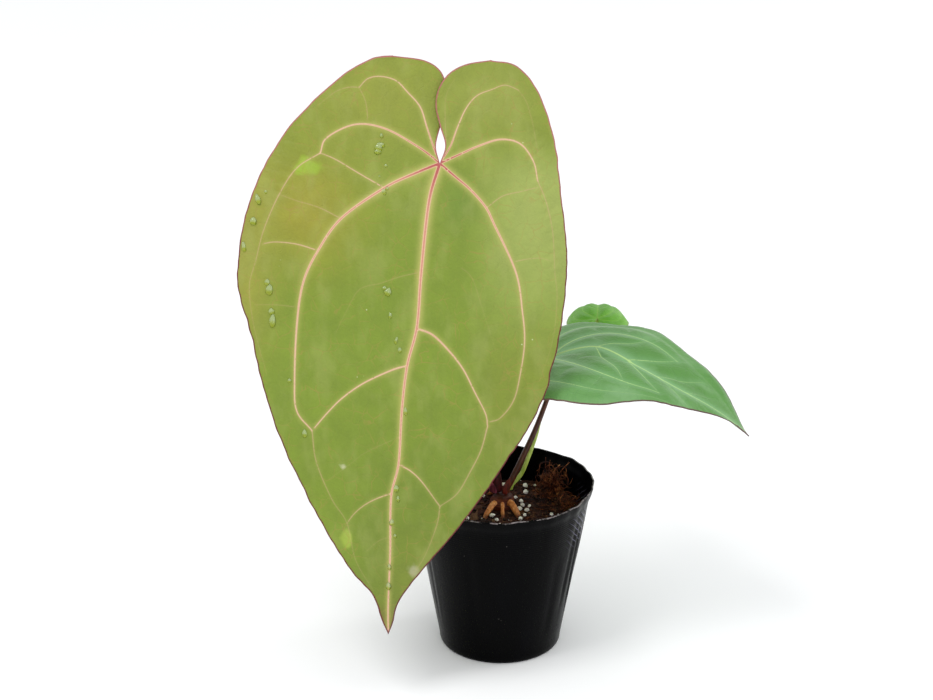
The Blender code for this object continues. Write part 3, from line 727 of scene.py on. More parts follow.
class Blade:
    """A blade's joint, its directions there, and the bend that it takes away from the joint.

    Angles are in degrees. radius is that of its droop along the midrib, fold and cup bend it across the
    midrib, and lift raises one basal lobe over the other.
    """

    def __init__(self, joint, heading, pitch, roll, radius, fold, cup, length, lift):
        level = Vector((math.cos(math.radians(heading)), math.sin(math.radians(heading)), 0))
        up = Vector((0, 0, 1))
        pitch = math.radians(pitch)
        self.joint = Vector(joint)
        self.along = level * math.cos(pitch) + up * math.sin(pitch)
        self.out = Matrix.Rotation(math.radians(roll), 3, self.along) @ (up * math.cos(pitch)
                                                                         - level * math.sin(pitch))
        self.across = self.out.cross(self.along)
        self.radius = radius
        self.fold = math.tan(math.radians(fold))
        self.cup = cup
        self.length = length
        self.lift = lift

    def place(self, u, v, side, edge, relief=0.0):
        """The upper face at u across and v towards the tip; edge is 1 at the margin."""
        turn = v / self.radius
        spine = self.joint + self.along * self.radius * math.sin(turn)
        spine -= self.out * self.radius * (1 - math.cos(turn))
        out = self.out * math.cos(turn) + self.along * math.sin(turn)
        rise = self.fold * abs(u) - self.cup * u * u
        ripple = 0.009 * self.length * math.sin(17 * v / self.length + side) * edge ** 2
        lobe = max(0, min(1, -v / (0.06 * self.length)))
        over = side * self.lift * lobe * math.exp(-abs(u) / (0.09 * self.length))
        return spine + self.across * u + out * (rise + ripple + over + relief)


def smooth_line(points, spacing):
    """Points of about this spacing on a smooth curve through the given ones, as an array."""
    knots = np.array(points, float)
    knots = np.vstack([2 * knots[0] - knots[1], knots, 2 * knots[-1] - knots[-2]])
    share = np.linspace(0, 1, 24, endpoint=False)[:, None]
    parts = []
    for before, start, end, after in zip(knots, knots[1:], knots[2:], knots[3:]):
        parts.append(0.5 * (2 * start + (end - before) * share
                            + (2 * before - 5 * start + 4 * end - after) * share ** 2
                            + (3 * start - before - 3 * end + after) * share ** 3))
    fine = np.vstack([*parts, knots[-2]])
    run = np.concatenate([[0], np.cumsum(np.linalg.norm(np.diff(fine, axis=0), axis=1))])
    stations = np.linspace(0, run[-1], max(2, round(run[-1] / spacing)) + 1)
    return np.column_stack([np.interp(stations, run, fine[:, axis]) for axis in range(fine.shape[1])])


def nearest(points, line, reach=25):
    """Distance from each point to the nearest point of a line, no more than reach, and that one's index."""
    best = np.full(len(points), float(reach))
    index = np.zeros(len(points), int)
    close = (points > line.min(0) - reach).all(1) & (points < line.max(0) + reach).all(1)
    for some in np.array_split(np.flatnonzero(close), 1 + close.sum() // 3000):
        apart = ((points[some][:, None] - line[None]) ** 2).sum(2)
        index[some] = apart.argmin(1)
        best[some] = np.minimum(np.sqrt(apart.min(1)), reach)
    return best, index


def sides_of(line):
    """Unit vectors square to a line at each of its points."""
    along = np.gradient(line, axis=0)
    along /= np.linalg.norm(along, axis=1)[:, None] + 1e-12
    return np.column_stack([-along[:, 1], along[:, 0]])


def within(points, loop):
    """Which points lie inside a closed loop."""
    inside = np.zeros(len(points), bool)
    for (u, v), (next_u, next_v) in zip(loop, np.roll(loop, -1, axis=0)):
        if v != next_v:
            level = (v > points[:, 1]) != (next_v > points[:, 1])
            inside ^= level & (points[:, 0] < u + (points[:, 1] - v) * (next_u - u) / (next_v - v))
    return inside


def thinned(loop, others, closest):
    """The loop's points, then each of the others that doesn't come too close to one already kept."""
    kept, cells = [], {}
    for points in (loop, others):
        for x, y in points:
            cell = (math.floor(x / closest), math.floor(y / closest))
            around = (other for i in (-1, 0, 1) for j in (-1, 0, 1)
                      for other in cells.get((cell[0] + i, cell[1] + j), ()))
            if points is loop or all((x - a) ** 2 + (y - b) ** 2 >= closest ** 2 for a, b in around):
                cells.setdefault(cell, []).append((x, y))
                kept.append((x, y))
    return kept


class Vein:
    """A vein's middle line on the plan in millimetres, with its half width and strength along it."""

    def __init__(self, scale, points, wide, narrow, strong, weak):
        self.line = smooth_line(np.array(points) * scale, 0.2)
        share = np.linspace(0, 1, len(self.line))
        self.width = 0.82 * (wide + (narrow - wide) * share)
        self.strength = strong + (weak - strong) * share


def half_leaf(inner, rib, margin, veins, spacing):
    """One half's mesh on the plan: corners and triangles, fine along its veins and its edge."""
    loop = np.vstack([rib[:-1], margin[::-1][:-1], inner[:-1]])
    groups = []
    for vein in veins:
        # Rows run beside each vein at set shares of its width
        rows = slice(None, None, round(spacing / 0.2))
        square, line, width = (of[rows] for of in (sides_of(vein.line), vein.line, vein.width[:, None]))
        groups.append(line)
        for share in (0.5, 1, 1.9, 3.4):
            groups.extend([line + square * width * share, line - square * width * share])
    inward = sides_of(margin)
    for step in (0.45, 1.0, 1.9):
        groups.extend([margin + inward * step * spacing, margin - inward * step * spacing])
    low, high = loop.min(0), loop.max(0)
    pitch = 2.0 * spacing
    xs, ys = np.meshgrid(np.arange(low[0], high[0], pitch), np.arange(low[1], high[1], pitch * 0.87))
    xs[1::2] += pitch / 2
    groups.append(np.column_stack([xs.ravel(), ys.ravel()]))
    points = np.vstack(groups)
    points = points[within(points, loop)]
    points = thinned(loop, points[nearest(points, loop)[0] > 0.65 * spacing], 0.4 * spacing)
    count = len(loop)
    corners, _, faces, *_ = geometry.delaunay_2d_cdt([Vector(point) for point in points], [],
                                                     [list(range(count))], 1, 1e-5)
    return np.array([tuple(corner) for corner in corners]), [list(face) for face in faces]


def smoothed(value, low, high):
    """0 below low, 1 above high, and smooth between."""
    share = np.clip((value - low) / (high - low), 0, 1)
    return share * share * (3 - 2 * share)


def leaf(name, blade, halves, veins, lamina, thick, drawn=1, spacing=1.0, quilt=(0.6, 9), ridge=0.3,
         halo=2.6, pleats=None):
    """A blade with its veins, quilting, edge and thickness.

    halves holds the inner lobe edge, midrib and margin of the left and right half. They and the veins
    are drawn for a blade this long from joint to tip. lamina gives the skin's colour at each place on
    the plan, quilt the height and reach of the rise between veins, and halo how far a vein's pale border
    reaches in half widths. The corners keep what the skin's finish needs: vein, border, rim, plan and
    lamina.
    """
    scale = blade.length / MM / drawn
    veins = [Vein(scale, *vein) for vein in veins]
    corners, faces, fields = [], [], {"vein": [], "border": [], "rim": [], "plan": [], "lamina": []}
    halves = [[smooth_line(np.array(line) * scale, 1.1 * spacing) for line in half] for half in halves]
    for _, _, margin in halves:
        waves = [noise.noise(Vector((u / 5, v / 5, 3))) + noise.noise(Vector((u / 12, v / 12, 8)))
                 for u, v in margin / spacing]
        ends = np.sin(np.linspace(0, np.pi, len(margin))).clip(0) ** 0.4
        margin += sides_of(margin) * (0.45 * spacing * np.array(waves) * ends)[:, None]
    both_margins = np.vstack([halves[0][2], halves[1][2][::-1]])
    for side, (inner, rib, margin) in zip((-1, 1), halves):
        plan, triangles = half_leaf(inner, rib, margin, veins, spacing)
        to_margin, _ = nearest(plan, smooth_line(margin, 0.5 * spacing))
        to_either, _ = nearest(plan, smooth_line(both_margins, 0.5 * spacing))
        to_lobe, _ = nearest(plan, smooth_line(inner, 0.5 * spacing))
        to_rib, _ = nearest(plan, smooth_line(rib, 0.5 * spacing))
        core = np.zeros(len(plan))
        border = np.zeros(len(plan))
        open_skin = np.full(len(plan), 99.0)
        for vein in veins:
            apart, at = nearest(plan, vein.line)
            width, strength = vein.width[at], vein.strength[at]
            core = np.maximum(core, strength * np.clip(1 - apart / width, 0, 1))
            border = np.maximum(border, strength * np.exp(-(apart / (halo * width)) ** 2))
            open_skin = np.minimum(open_skin, apart + 6 * (1 - np.clip(strength, 0, 1)))
        rim = np.minimum(to_either, to_lobe)
        rise = quilt[0] * (1 - np.exp(-(open_skin / quilt[1]) ** 2)) + ridge * smoothed(core, 0, 0.8)
        rise *= smoothed(rim, 0, 5 * spacing) * smoothed(np.hypot(*plan.T), 0, 9 * spacing)
        if pleats:
            rise += pleats(plan, to_margin, side)
        # Nothing differs between the halves within this distance of the midrib, so that they join
        inward = np.maximum(0, np.minimum(to_rib, to_lobe) - 0.4 * spacing)
        edge = inward / (inward + to_margin + 1e-6)
        start = len(corners)
        for (u, v), share, height in zip(plan, edge, rise):
            soft = 0.5 * noise.noise(Vector((u / 22, v / 22, side)))
            corners.append(blade.place(u * MM, v * MM, side, share, (height + soft * share) * MM))
        faces.extend([start + corner for corner in face] for face in triangles)
        fields["vein"].append(core)
        fields["border"].append(border)
        fields["rim"].append(rim)
        fields["plan"].append(np.column_stack([plan * MM, np.zeros(len(plan))]))
        fields["lamina"].append(lamina(plan))
    mesh = bpy.data.meshes.new(name)
    mesh.from_pydata(corners, [], faces)
    fields = {field: np.concatenate(halves_of) for field, halves_of in fields.items()}
    for field, values in fields.items():
        keep(mesh, field, values)
    piece = bpy.data.objects.new(name, mesh)
    bpy.context.collection.objects.link(piece)
    # The ribs are thicker below: the skin keeps part of the wall's thickness there
    ribs = piece.vertex_groups.new(name="ribs")
    for index, (core, rim) in enumerate(zip(fields["vein"], fields["rim"])):
        share = 0.45 + 0.55 * core
        ribs.add([index], share * min(1, 0.55 + 0.45 * rim / (1.5 * spacing)), "REPLACE")
    only(piece)
    bpy.ops.object.mode_set(mode="EDIT")
    bpy.ops.mesh.select_all(action="SELECT")
    bpy.ops.mesh.remove_doubles(threshold=3e-6)
    bpy.ops.object.mode_set(mode="OBJECT")
    facing = sum((face.normal * face.area for face in mesh.polygons), Vector())
    if facing.dot(blade.out) < 0:
        mesh.flip_normals()
    apply(piece, "SOLIDIFY", thickness=2 * thick * MM, offset=-1, vertex_group="ribs")
    bpy.ops.object.shade_smooth()
    return piece


large = Blade((-29 * MM, 6.05 * MM, 244 * MM), heading=-90, pitch=-68, roll=0, radius=2.2, fold=0,
              cup=0.7, length=220 * MM, lift=1.3 * MM)

# The outline, and the veins below, in millimetres right of and below the joint
MIDRIB = ((0, 0), (-5, 18), (-8.5, 50), (-10.5, 75), (-15, 93), (-17.5, 114), (-19, 138), (-22.5, 154),
          (-23, 180), (-24, 204), (-24, 218))
LEFT_MARGIN = ((-20.5, -49.5), (-33, -47.5), (-53, -34), (-73.5, -12), (-85.5, 10.5), (-91.5, 33),
               (-93.5, 55), (-88, 77), (-82.5, 100), (-75.5, 122), (-66.5, 144), (-55, 166), (-41, 188),
               (-31, 199.5), (-27, 211), (-24, 218))
RIGHT_MARGIN = ((23.5, -47.5), (35.5, -45), (45, -34), (52.5, -12), (55.5, 10.5), (58.5, 38), (58, 60),
                (53.5, 88), (45.5, 114), (30.5, 138), (11, 165), (-9, 189), (-19, 203), (-21.5, 212),
                (-24, 218))
LEFT_LOBE = ((-20.5, -49.5), (-7, -47.5), (0.5, -42.5), (3.2, -34), (2.6, -25), (0.3, -17), (-1.7, -8),
             (0, 0))
RIGHT_LOBE = ((23.5, -47.5), (12, -45.5), (4, -41), (-0.6, -34), (-1.9, -26), (0.1, -17), (2.5, -8),
              (0, 0))

# Each vein's points, its half width at the start and the end, and its strength at both
large_veins = [
    (MIDRIB, 1.75, 0.8, 1.15, 0.85),
    # left: the main lateral, and the collective vein that it joins
    (((0, 0), (-10, 4), (-25, 11), (-45, 25), (-56, 40), (-63, 55), (-66, 75), (-67, 100), (-66, 114),
      (-59, 123)), 1.5, 0.95, 1.1, 0.6),
    (((-59, 123), (-57, 138), (-50, 155), (-43, 166), (-39, 183), (-31, 197)), 0.8, 0.6, 0.42, 0.2),
    # left: the upper lateral that runs out near the margin
    (((0, 0), (-9, -7), (-25, -16), (-39, -18), (-52, -12), (-55, -5)), 1.1, 0.85, 0.95, 0.72),
    (((-55, -5), (-66, 2), (-74, 14), (-81, 30), (-85, 45), (-88, 57), (-86, 75), (-80, 97)),
     0.85, 0.6, 0.55, 0.18),
    (((-26, 11), (-38, 4), (-48, -2), (-55, -5)), 0.8, 0.75, 0.62, 0.5),
    (((-46, 25), (-56, 20), (-66, 17), (-74, 14)), 0.75, 0.7, 0.42, 0.25),
    (((-56, 40), (-66, 37), (-76, 36), (-82, 37)), 0.85, 0.75, 0.6, 0.45),
    (((-66, 66), (-76, 65), (-86, 65)), 0.7, 0.6, 0.28, 0.2),
    # left lobe
    (((0, 0), (-3, -8), (-6, -17), (-9, -26), (-15, -33), (-20, -38), (-27, -40), (-33, -39),
      (-37, -35)), 0.95, 0.75, 0.85, 0.5),
    (((-37, -35), (-42, -35), (-48, -33), (-56, -27)), 0.7, 0.6, 0.4, 0.2),
    (((-37, -35), (-34, -28), (-33, -19)), 0.7, 0.6, 0.3, 0.35),
    # right lobe
    (((0, 0), (5, -8), (8, -16), (12, -25), (17, -31), (24, -34), (30, -36), (36, -34)),
     0.95, 0.7, 0.85, 0.4),
    (((3, -10), (2.5, -20), (3, -31), (7, -39)), 0.7, 0.5, 0.35, 0.15),
    (((36, -34), (40, -28), (43, -17), (45, -5)), 0.65, 0.6, 0.25, 0.2),
    # right: the upper lateral
    (((0, 0), (9, -4), (18, -8), (28, -11), (37, -9), (43, -1), (45, 8)), 1.15, 0.85, 1.0, 0.6),
    (((45, 8), (49, 18), (52, 32), (53, 50), (54, 62), (52, 81), (46, 100)), 0.75, 0.55, 0.4, 0.15),
    (((22, 20), (29, 15), (37, 13), (45, 11)), 0.75, 0.7, 0.42, 0.35),
    (((35, 45), (40, 44), (46, 43.5), (52, 45)), 0.7, 0.6, 0.38, 0.25),
    # right: the main lateral
    (((0, 0), (7, 6), (14, 12), (21, 20), (25, 28), (35, 50), (38, 68), (39, 82), (37, 97), (34, 109),
      (28, 117), (23, 119)), 1.3, 0.8, 1.05, 0.4),
    # right: two veins that leave the midrib low down and loop round to it
    (((-10, 76), (-3, 79), (5, 87), (11, 95), (16, 105), (21, 115), (22, 121)), 1.05, 0.85, 0.85, 0.55),
    (((22, 121), (19, 132), (14, 142), (8, 152), (0, 158)), 0.85, 0.7, 0.5, 0.35),
    (((-18, 139), (-13, 142), (-8, 147), (0, 158)), 0.85, 0.75, 0.65, 0.45),
    (((0, 158), (-1, 165), (-4, 174), (-8, 183), (-13, 190)), 0.75, 0.6, 0.4, 0.2),
    # left: two that leave it, and one faint one
    (((-15, 93), (-22, 95), (-35, 101), (-45, 108), (-52, 115), (-58, 122)), 1.0, 0.85, 0.78, 0.62),
    (((-19, 126), (-34, 133), (-42, 139), (-53, 147)), 0.7, 0.6, 0.22, 0.15),
    (((-22, 152), (-28, 154), (-34, 157), (-39, 161), (-43, 166)), 0.8, 0.7, 0.6, 0.4),
    (((-22, 172), (-28, 174), (-34, 179)), 0.65, 0.55, 0.28, 0.15),
    (((-9, 50), (-18, 52), (-27, 55), (-37, 58), (-43, 68), (-48, 78)), 0.7, 0.6, 0.3, 0.15),
    (((10, 48), (15, 53), (20, 68), (26, 87)), 0.65, 0.55, 0.22, 0.12),
    (((-8, 36), (4, 40), (14, 47)), 0.6, 0.5, 0.15, 0.1),
]


def linear(*rgb):
    """A screen colour as an array."""
    return np.array(screen(*rgb))


def large_lamina(plan):
    """Olive green: browner towards the upper left, darker near the lobes, and greyer and paler to the right,
    where the paleness is painted sheen.
    """
    u, v = plan.T
    plain = np.tile(linear(116, 136, 44), (len(plan), 1))

    def wash(colour, amount):
        plain[:] = plain + (linear(*colour) - plain) * np.clip(amount, 0, 1)[:, None]

    wash((136, 142, 56), 0.5 * smoothed(-v, -60, 40))
    wash((146, 140, 48), 0.9 * np.exp(-((u + 62) / 24) ** 2 - ((v - 22) / 26) ** 2))
    wash((150, 146, 62), 0.7 * smoothed(-u, 66, 94) * smoothed(110 - v, 0, 50))
    wash((140, 144, 58), 0.6 * np.exp(-((u + 30) / 30) ** 2 - ((v + 30) / 22) ** 2))
    # Painted sheen: the right half is washed paler and greyer where it reflects the light from the right
    wash((152, 164, 86), 0.85 * smoothed(u, 8, 40) * smoothed(v, -14, 10) * smoothed(104 - v, 0, 76))
    wash((122, 132, 48), 0.6 * smoothed(u, 10, 30) * smoothed(v, 60, 100))
    wash((146, 152, 74), 0.5 * np.exp(-((u - 25) / 20) ** 2 - ((v + 30) / 16) ** 2))
    wash((104, 130, 50), 0.6 * np.exp(-((u - 9) / 9) ** 2 - ((v - 18) / 14) ** 2))
    wash((98, 116, 36), 0.65 * smoothed(v, 96, 190) * smoothed(u, -52, -20))
    wash((136, 138, 60), 0.35 * np.exp(-((u + 5) / 24) ** 2 - ((v - 198) / 24) ** 2))
    wash((112, 96, 48), 0.85 * smoothed(v, 200, 219))
    # A torn-looking patch where the skin is a clear yellow-green, and small pale ones
    patch = smoothed(5.2 + 1.1 * np.sin(3 * np.arctan2(v - 1, u + 62) + 0.6)
                     - np.hypot((u + 62) * 0.75, (v - 1) * 1.15), 0, 1.4)
    wash((142, 168, 48), 0.9 * patch)
    wash((160, 182, 66), 0.6 * smoothed(4.4 - np.hypot((u + 43.5) * 1.5, (v - 175) * 0.8), 0, 1.6))
    wash((176, 172, 140), 0.6 * smoothed(3.6 - np.hypot((u + 12) * 1.1, v - 190), 0, 2))
    wash((196, 196, 160), 0.7 * smoothed(1.6 - np.hypot(u + 45, v - 141), 0, 1))
    return plain


def large_pleats(plan, to_margin, side):
    """Soft slanting creases beside the margin of the upper part."""
    u, v = plan.T
    if side > 0:
        where = smoothed(v, -30, -8) * smoothed(76 - v, 0, 24)
        slant = v + 0.75 * u
    else:
        where = smoothed(v, -34, -20) * smoothed(30 - v, 0, 20)
        slant = v - 0.5 * u
    near = smoothed(to_margin, 0.6, 4) * smoothed(19 - to_margin, 0, 9)
    return 0.24 * where * near * np.sin(slant * 2 * np.pi / 5.2 + 1.6 * np.sin(u / 6))


def leaf_finish(name, constants, vein_colour, joint_colour, pale_vein, border_colour, rim_colours,
                net_colour, cloud_colour, mottle=0.3, borders=0.75, net_scale=135, net=0.4, gloss=0.42):
    """A leaf's skin, the same above and below, from what its corners keep."""
    skin = Finish(name + " skin", constants)
    plan = skin.attribute("plan", "Vector")
    lamina = skin.attribute("lamina", "Color")
    core = skin.attribute("vein")
    border = skin.attribute("border")
    rim = skin.attribute("rim")
    patchy = skin.grain(75, 4, 0.6, plan)
    fine = skin.grain(900, 3, 0.65, plan)
    wander = skin.node("VectorMath", {"operation": "MULTIPLY_ADD"},
                        {0: skin.grain(120, 2, 0.5, plan), 1: (0.006, 0.006, 0.006), 2: plan}, "Vector")
    cells = skin.cells(net_scale, wander, "DISTANCE_TO_EDGE")
    small = skin.cells(net_scale * 3.4, wander, "DISTANCE_TO_EDGE")
    net_share = skin.step(cells, 0.035, 0.004) * skin.step(patchy, 0.4, 0.62) * net
    tone = patchy * mottle * 1.3 + fine * mottle * 0.6 + (1 - mottle * 0.95)
    tone = skin.node("CombineColor", {}, {0: tone, 1: tone, 2: tone})
    skin_colour = skin.blend(1, lamina, tone, "MULTIPLY")
    cloudy = skin.grain(52, 3, 0.55, skin.stretched(1.5, 0.7, 1, plan))
    skin_colour = skin.blend(skin.step(cloudy, 0.46, 0.68) * mottle * 0.9, skin_colour, cloud_colour)
    skin_colour = skin.blend(net_share, skin_colour, net_colour)
    skin_colour = skin.blend(border ** 2 * borders, skin_colour, border_colour)
    rough_core = core + fine * 0.14 - 0.07
    faint = skin.blend(skin.step(core, 0.2, 0.65) * 0.6 + 0.4, net_colour, pale_vein)
    skin_colour = skin.blend(skin.step(rough_core, 0.03, 0.66) * 0.88, skin_colour, faint)
    from_joint = skin.node("VectorMath", {"operation": "LENGTH"}, {0: plan}, "Value") * 1000
    near_joint = skin.step(from_joint, 24, 1)
    middle = skin.blend(near_joint, vein_colour, joint_colour)
    centre = skin.step(rough_core + near_joint * 0.1, 0.62, 0.86)
    skin_colour = skin.blend(centre * 0.9, skin_colour, middle)
    rim_line = skin.step(rim + fine * 0.4, 1.05, 0.6)
    lower_part = skin.axis("Y", plan) + patchy * 0.06
    rim_colour = skin.blend(skin.step(lower_part, 0.02, 0.08), *rim_colours)
    skin_colour = skin.blend(rim_line, skin_colour, rim_colour)
    flecks = skin.step(skin.cells(210, plan), 0.09, 0.05)
    flecks *= skin.step(skin.grain(37, 1, 0.5, plan), 0.6, 0.68)
    skin_colour = skin.blend(flecks * 0.55, skin_colour, screen(214, 222, 176))
    skin.shade({"Base Color": skin_colour, "Roughness": gloss + 0.16 * patchy + 0.1 * fine})
    skin.raised(skin.step(small, 0, 0.25) * 0.35 + skin.step(cells, 0, 0.12) * 0.5 + fine * 0.25,
                 0.16 * MM)
    return skin


waxy = {"Specular IOR Level": 0.35, "Sheen Weight": 0.06, "Sheen Roughness": 0.4}
large_skin = leaf_finish("large leaf", waxy, vein_colour=screen(196, 130, 112),
                         joint_colour=screen(166, 66, 72), pale_vein=screen(226, 184, 154),
                         border_colour=screen(180, 176, 98),
                         rim_colours=(screen(172, 104, 100), screen(104, 36, 44)),
                         net_colour=screen(154, 128, 68), cloud_colour=screen(156, 162, 90))
large_halves = ((LEFT_LOBE, MIDRIB, LEFT_MARGIN), (RIGHT_LOBE, MIDRIB, RIGHT_MARGIN))
large_leaf = leaf("large_leaf", large, large_halves, large_veins, large_lamina, 0.7, 218,
                  pleats=large_pleats)
settle(large_leaf, "large_leaf", "blade_olive", ["blade_large"], large_skin)

# --------------------------------------------------------------------------- water on the large leaf
# Clear drops left from watering, flat domes up to 5 mm long that cling to the waxy skin. Those that
# started to run are long, with their fuller end down the leaf.

leaf_tree = BVHTree.FromObject(large_leaf, bpy.context.evaluated_depsgraph_get())


def on_leaf(u, v):
    """The skin's place and normal at u right of and v below the joint, in millimetres."""
    above = large.place(u * MM, v * MM, 1 if u > 0 else -1, 0) + large.out * 12 * MM
    place, normal, *_ = leaf_tree.ray_cast(above, -large.out)
    return (place, normal) if place else (above, large.out)


# across, down, half width, half length, turn in degrees
DROPS = ((-27, -13, 0.8, 1.1, 10), (-28.3, -7.6, 1.7, 2.2, -12), (-26.6, -8.6, 1.0, 1.2, 35),
         (-28.8, -5.6, 1.5, 1.5, 0), (-25, 1, 0.7, 0.8, 0), (-28, 6, 0.5, 0.6, 0), (-26, 13, 1.0, 1.6, 20),
         (-24.4, 11.6, 0.8, 0.9, -30), (-81, 13, 0.7, 0.9, 15), (-84.6, 16.4, 1.2, 2.8, 18),
         (-86.8, 26.6, 1.6, 2.0, 0), (-91.2, 38.6, 1.0, 2.6, 8), (-80.4, 55, 1.3, 1.6, -20),
         (-79.4, 58.4, 1.8, 2.5, -12), (-78.4, 68.6, 1.3, 1.6, 10), (-78, 73, 1.5, 3.3, -8),
         (-24, 59.5, 1.7, 2.1, -25), (-25.6, 57.8, 1.0, 1.0, 0), (-23, 70.6, 0.8, 1.5, -12),
         (-20.2, 82, 0.7, 1.9, -16), (-18.6, 86.6, 0.9, 1.4, 5), (-70, 101, 0.9, 1.1, 0),
         (-63, 125.6, 1.1, 1.9, 0), (-16, 115, 0.8, 2.0, 5), (-20.4, 151, 1.2, 1.8, 0),
         (-19.4, 156, 0.8, 1.5, 10), (-22.4, 167, 1.1, 1.7, 0), (-21, 173.4, 0.7, 1.0, 0),
         (-23.6, 188, 0.8, 1.6, 0), (-24, 197, 1.2, 1.9, 0))
bpy.ops.object.select_all(action="DESELECT")
bpy.ops.mesh.primitive_uv_sphere_add(segments=28, ring_count=16, radius=1)
bead = bpy.context.object
bpy.ops.object.mode_set(mode="EDIT")
bpy.ops.mesh.bisect(plane_co=(0, 0, 0), plane_no=(0, 0, -1), clear_outer=True, use_fill=True)
bpy.ops.object.mode_set(mode="OBJECT")
bead_shape = [corner.co.copy() for corner in bead.data.vertices]
bead_faces = [list(face.vertices) for face in bead.data.polygons]
bpy.data.objects.remove(bead)
corners, faces, lies = [], [], []
for number, (u, v, wide, long, turn) in enumerate(DROPS):
    place, normal = on_leaf(u, v)
    down = (large.along - normal * large.along.dot(normal)).normalized()
    down = Matrix.Rotation(math.radians(turn), 3, normal) @ down
    across = normal.cross(down)
    start = len(corners)
    for point in bead_shape:
        fuller = 1 + 0.28 * point.y
        bent = 1 + 0.2 * noise.noise(Vector((point.x * 1.6, point.y * 1.6, number * 3.1)))
        offset = across * point.x * wide * fuller * bent + down * point.y * long * bent
        lift = point.z ** 0.8 * 0.62 * min(wide, 1.5) * fuller if point.z > 0.001 else -0.12
        corners.append(place + (offset + normal * lift) * MM)
        lies.append(point)
    faces.extend([start + corner for corner in face] for face in bead_faces)
mesh = bpy.data.meshes.new("drops")
mesh.from_pydata(corners, [], faces)
keep(mesh, "lie", lies)
drops = bpy.data.objects.new("drops", mesh)
bpy.context.collection.objects.link(drops)
only(drops)
bpy.ops.object.shade_smooth_by_angle(angle=math.radians(50))
# Painted light: the lower part is painted bright where it gathers the light, the upper part pale as a
# painted reflection of the sky, and the foot as a darker line of painted shade
water = Finish("water", {"Roughness": 0.03, "IOR": 1.33, "Specular IOR Level": 0.8})
lie = water.attribute("lie", "Vector")
ripple = water.grain(500, 1)
body = water.blend(water.step(water.axis("Y", lie) + ripple * 0.4, 0, 0.7), screen(190, 208, 148),
                   screen(166, 180, 52))
foot = water.step(water.axis("Z", lie), 0.5, 0.12)
water.shade({"Base Color": water.blend(foot * 0.85, body, screen(84, 104, 14)),
             "Alpha": 0.5 + foot * 0.35})
water.raised(ripple, 0.05 * MM)
settle(drops, "water_drops", "blade_olive", (), water)

# ----------------------------------------------------------------------------------- the second leaf
# The middle-aged leaf points to the right and arches down to its tip. Its skin is a waxy grey-green,
# puffed between pale veins, and its edge is a thin purple-brown line.

# One half's outline as shares of the length from joint to tip; the other half mirrors it
YOUNG_RIB = ((0, 0), (0, 0.1), (0, 0.21), (0, 0.35), (0, 0.5), (0, 0.65), (0, 0.85), (0, 1))
YOUNG_MARGIN = ((0.13, -0.26), (0.23, -0.22), (0.31, -0.12), (0.35, 0), (0.37, 0.12), (0.37, 0.25),
                (0.34, 0.38), (0.285, 0.5), (0.215, 0.62), (0.14, 0.74), (0.07, 0.86), (0.022, 0.95),
                (0, 1))
YOUNG_LOBE = ((0.13, -0.26), (0.05, -0.23), (0.015, -0.15), (0.012, -0.07), (0, 0))


def mirrored(lines):
    """The same lines for the left half and for the right."""
    return [[[(u * flip, v) for u, v in line] for line in lines] for flip in (-1, 1)]


young_halves = mirrored((YOUNG_LOBE, YOUNG_RIB, YOUNG_MARGIN))
# Veins as above, one half's; the other half mirrors them
HALF_VEINS = ((((0, 0), (0.05, -0.07), (0.11, -0.14), (0.18, -0.15), (0.23, -0.1)), 0.8, 0.5, 0.75, 0.4),
              (((0, 0), (0.09, -0.02), (0.18, 0), (0.25, 0.06), (0.285, 0.16), (0.29, 0.28), (0.265, 0.4)),
               0.85, 0.5, 0.85, 0.45),
              (((0, 0.01), (0.06, 0.05), (0.12, 0.12), (0.17, 0.22), (0.185, 0.34), (0.18, 0.45),
                (0.15, 0.56)), 0.9, 0.55, 0.95, 0.55),
              (((0, 0.2), (0.06, 0.26), (0.11, 0.34), (0.18, 0.4)), 0.75, 0.5, 0.7, 0.45),
              (((0, 0.36), (0.05, 0.43), (0.1, 0.5), (0.15, 0.56)), 0.75, 0.5, 0.7, 0.45),
              (((0, 0.52), (0.04, 0.58), (0.08, 0.65), (0.11, 0.7)), 0.7, 0.45, 0.6, 0.4),
              (((0, 0.66), (0.03, 0.72), (0.06, 0.78)), 0.65, 0.4, 0.5, 0.3),
              (((0.265, 0.4), (0.23, 0.5), (0.19, 0.58), (0.14, 0.68), (0.08, 0.8), (0.03, 0.9)),
               0.6, 0.4, 0.4, 0.25),
              (((0.09, -0.02), (0.14, 0.06), (0.17, 0.22)), 0.55, 0.4, 0.3, 0.25),
              (((0.185, 0.3), (0.23, 0.3), (0.29, 0.28)), 0.55, 0.4, 0.35, 0.3),
              (((0.17, 0.18), (0.22, 0.14), (0.28, 0.14)), 0.55, 0.4, 0.35, 0.3),
              (((0.18, 0.42), (0.22, 0.44), (0.255, 0.43)), 0.55, 0.4, 0.35, 0.3),
              (((0.285, 0.2), (0.33, 0.22), (0.36, 0.2)), 0.5, 0.35, 0.3, 0.15),
              (((0.28, 0.33), (0.32, 0.36), (0.33, 0.37)), 0.5, 0.35, 0.3, 0.15),
              (((0.05, 0.24), (0.08, 0.18), (0.13, 0.15)), 0.5, 0.35, 0.25, 0.2))


def young_veins(part=1.0):
    """The midrib and both halves' side veins, for a blade whose veins are this much of full width."""
    veins = [(YOUNG_RIB, 1.15 * part, 0.5 * part, 1.1, 0.7)]
    for points, wide, narrow, strong, weak in HALF_VEINS:
        for flip in (-1, 1):
            veins.append(([(u * flip, v) for u, v in points], wide * part, narrow * part, strong, weak))
    return veins


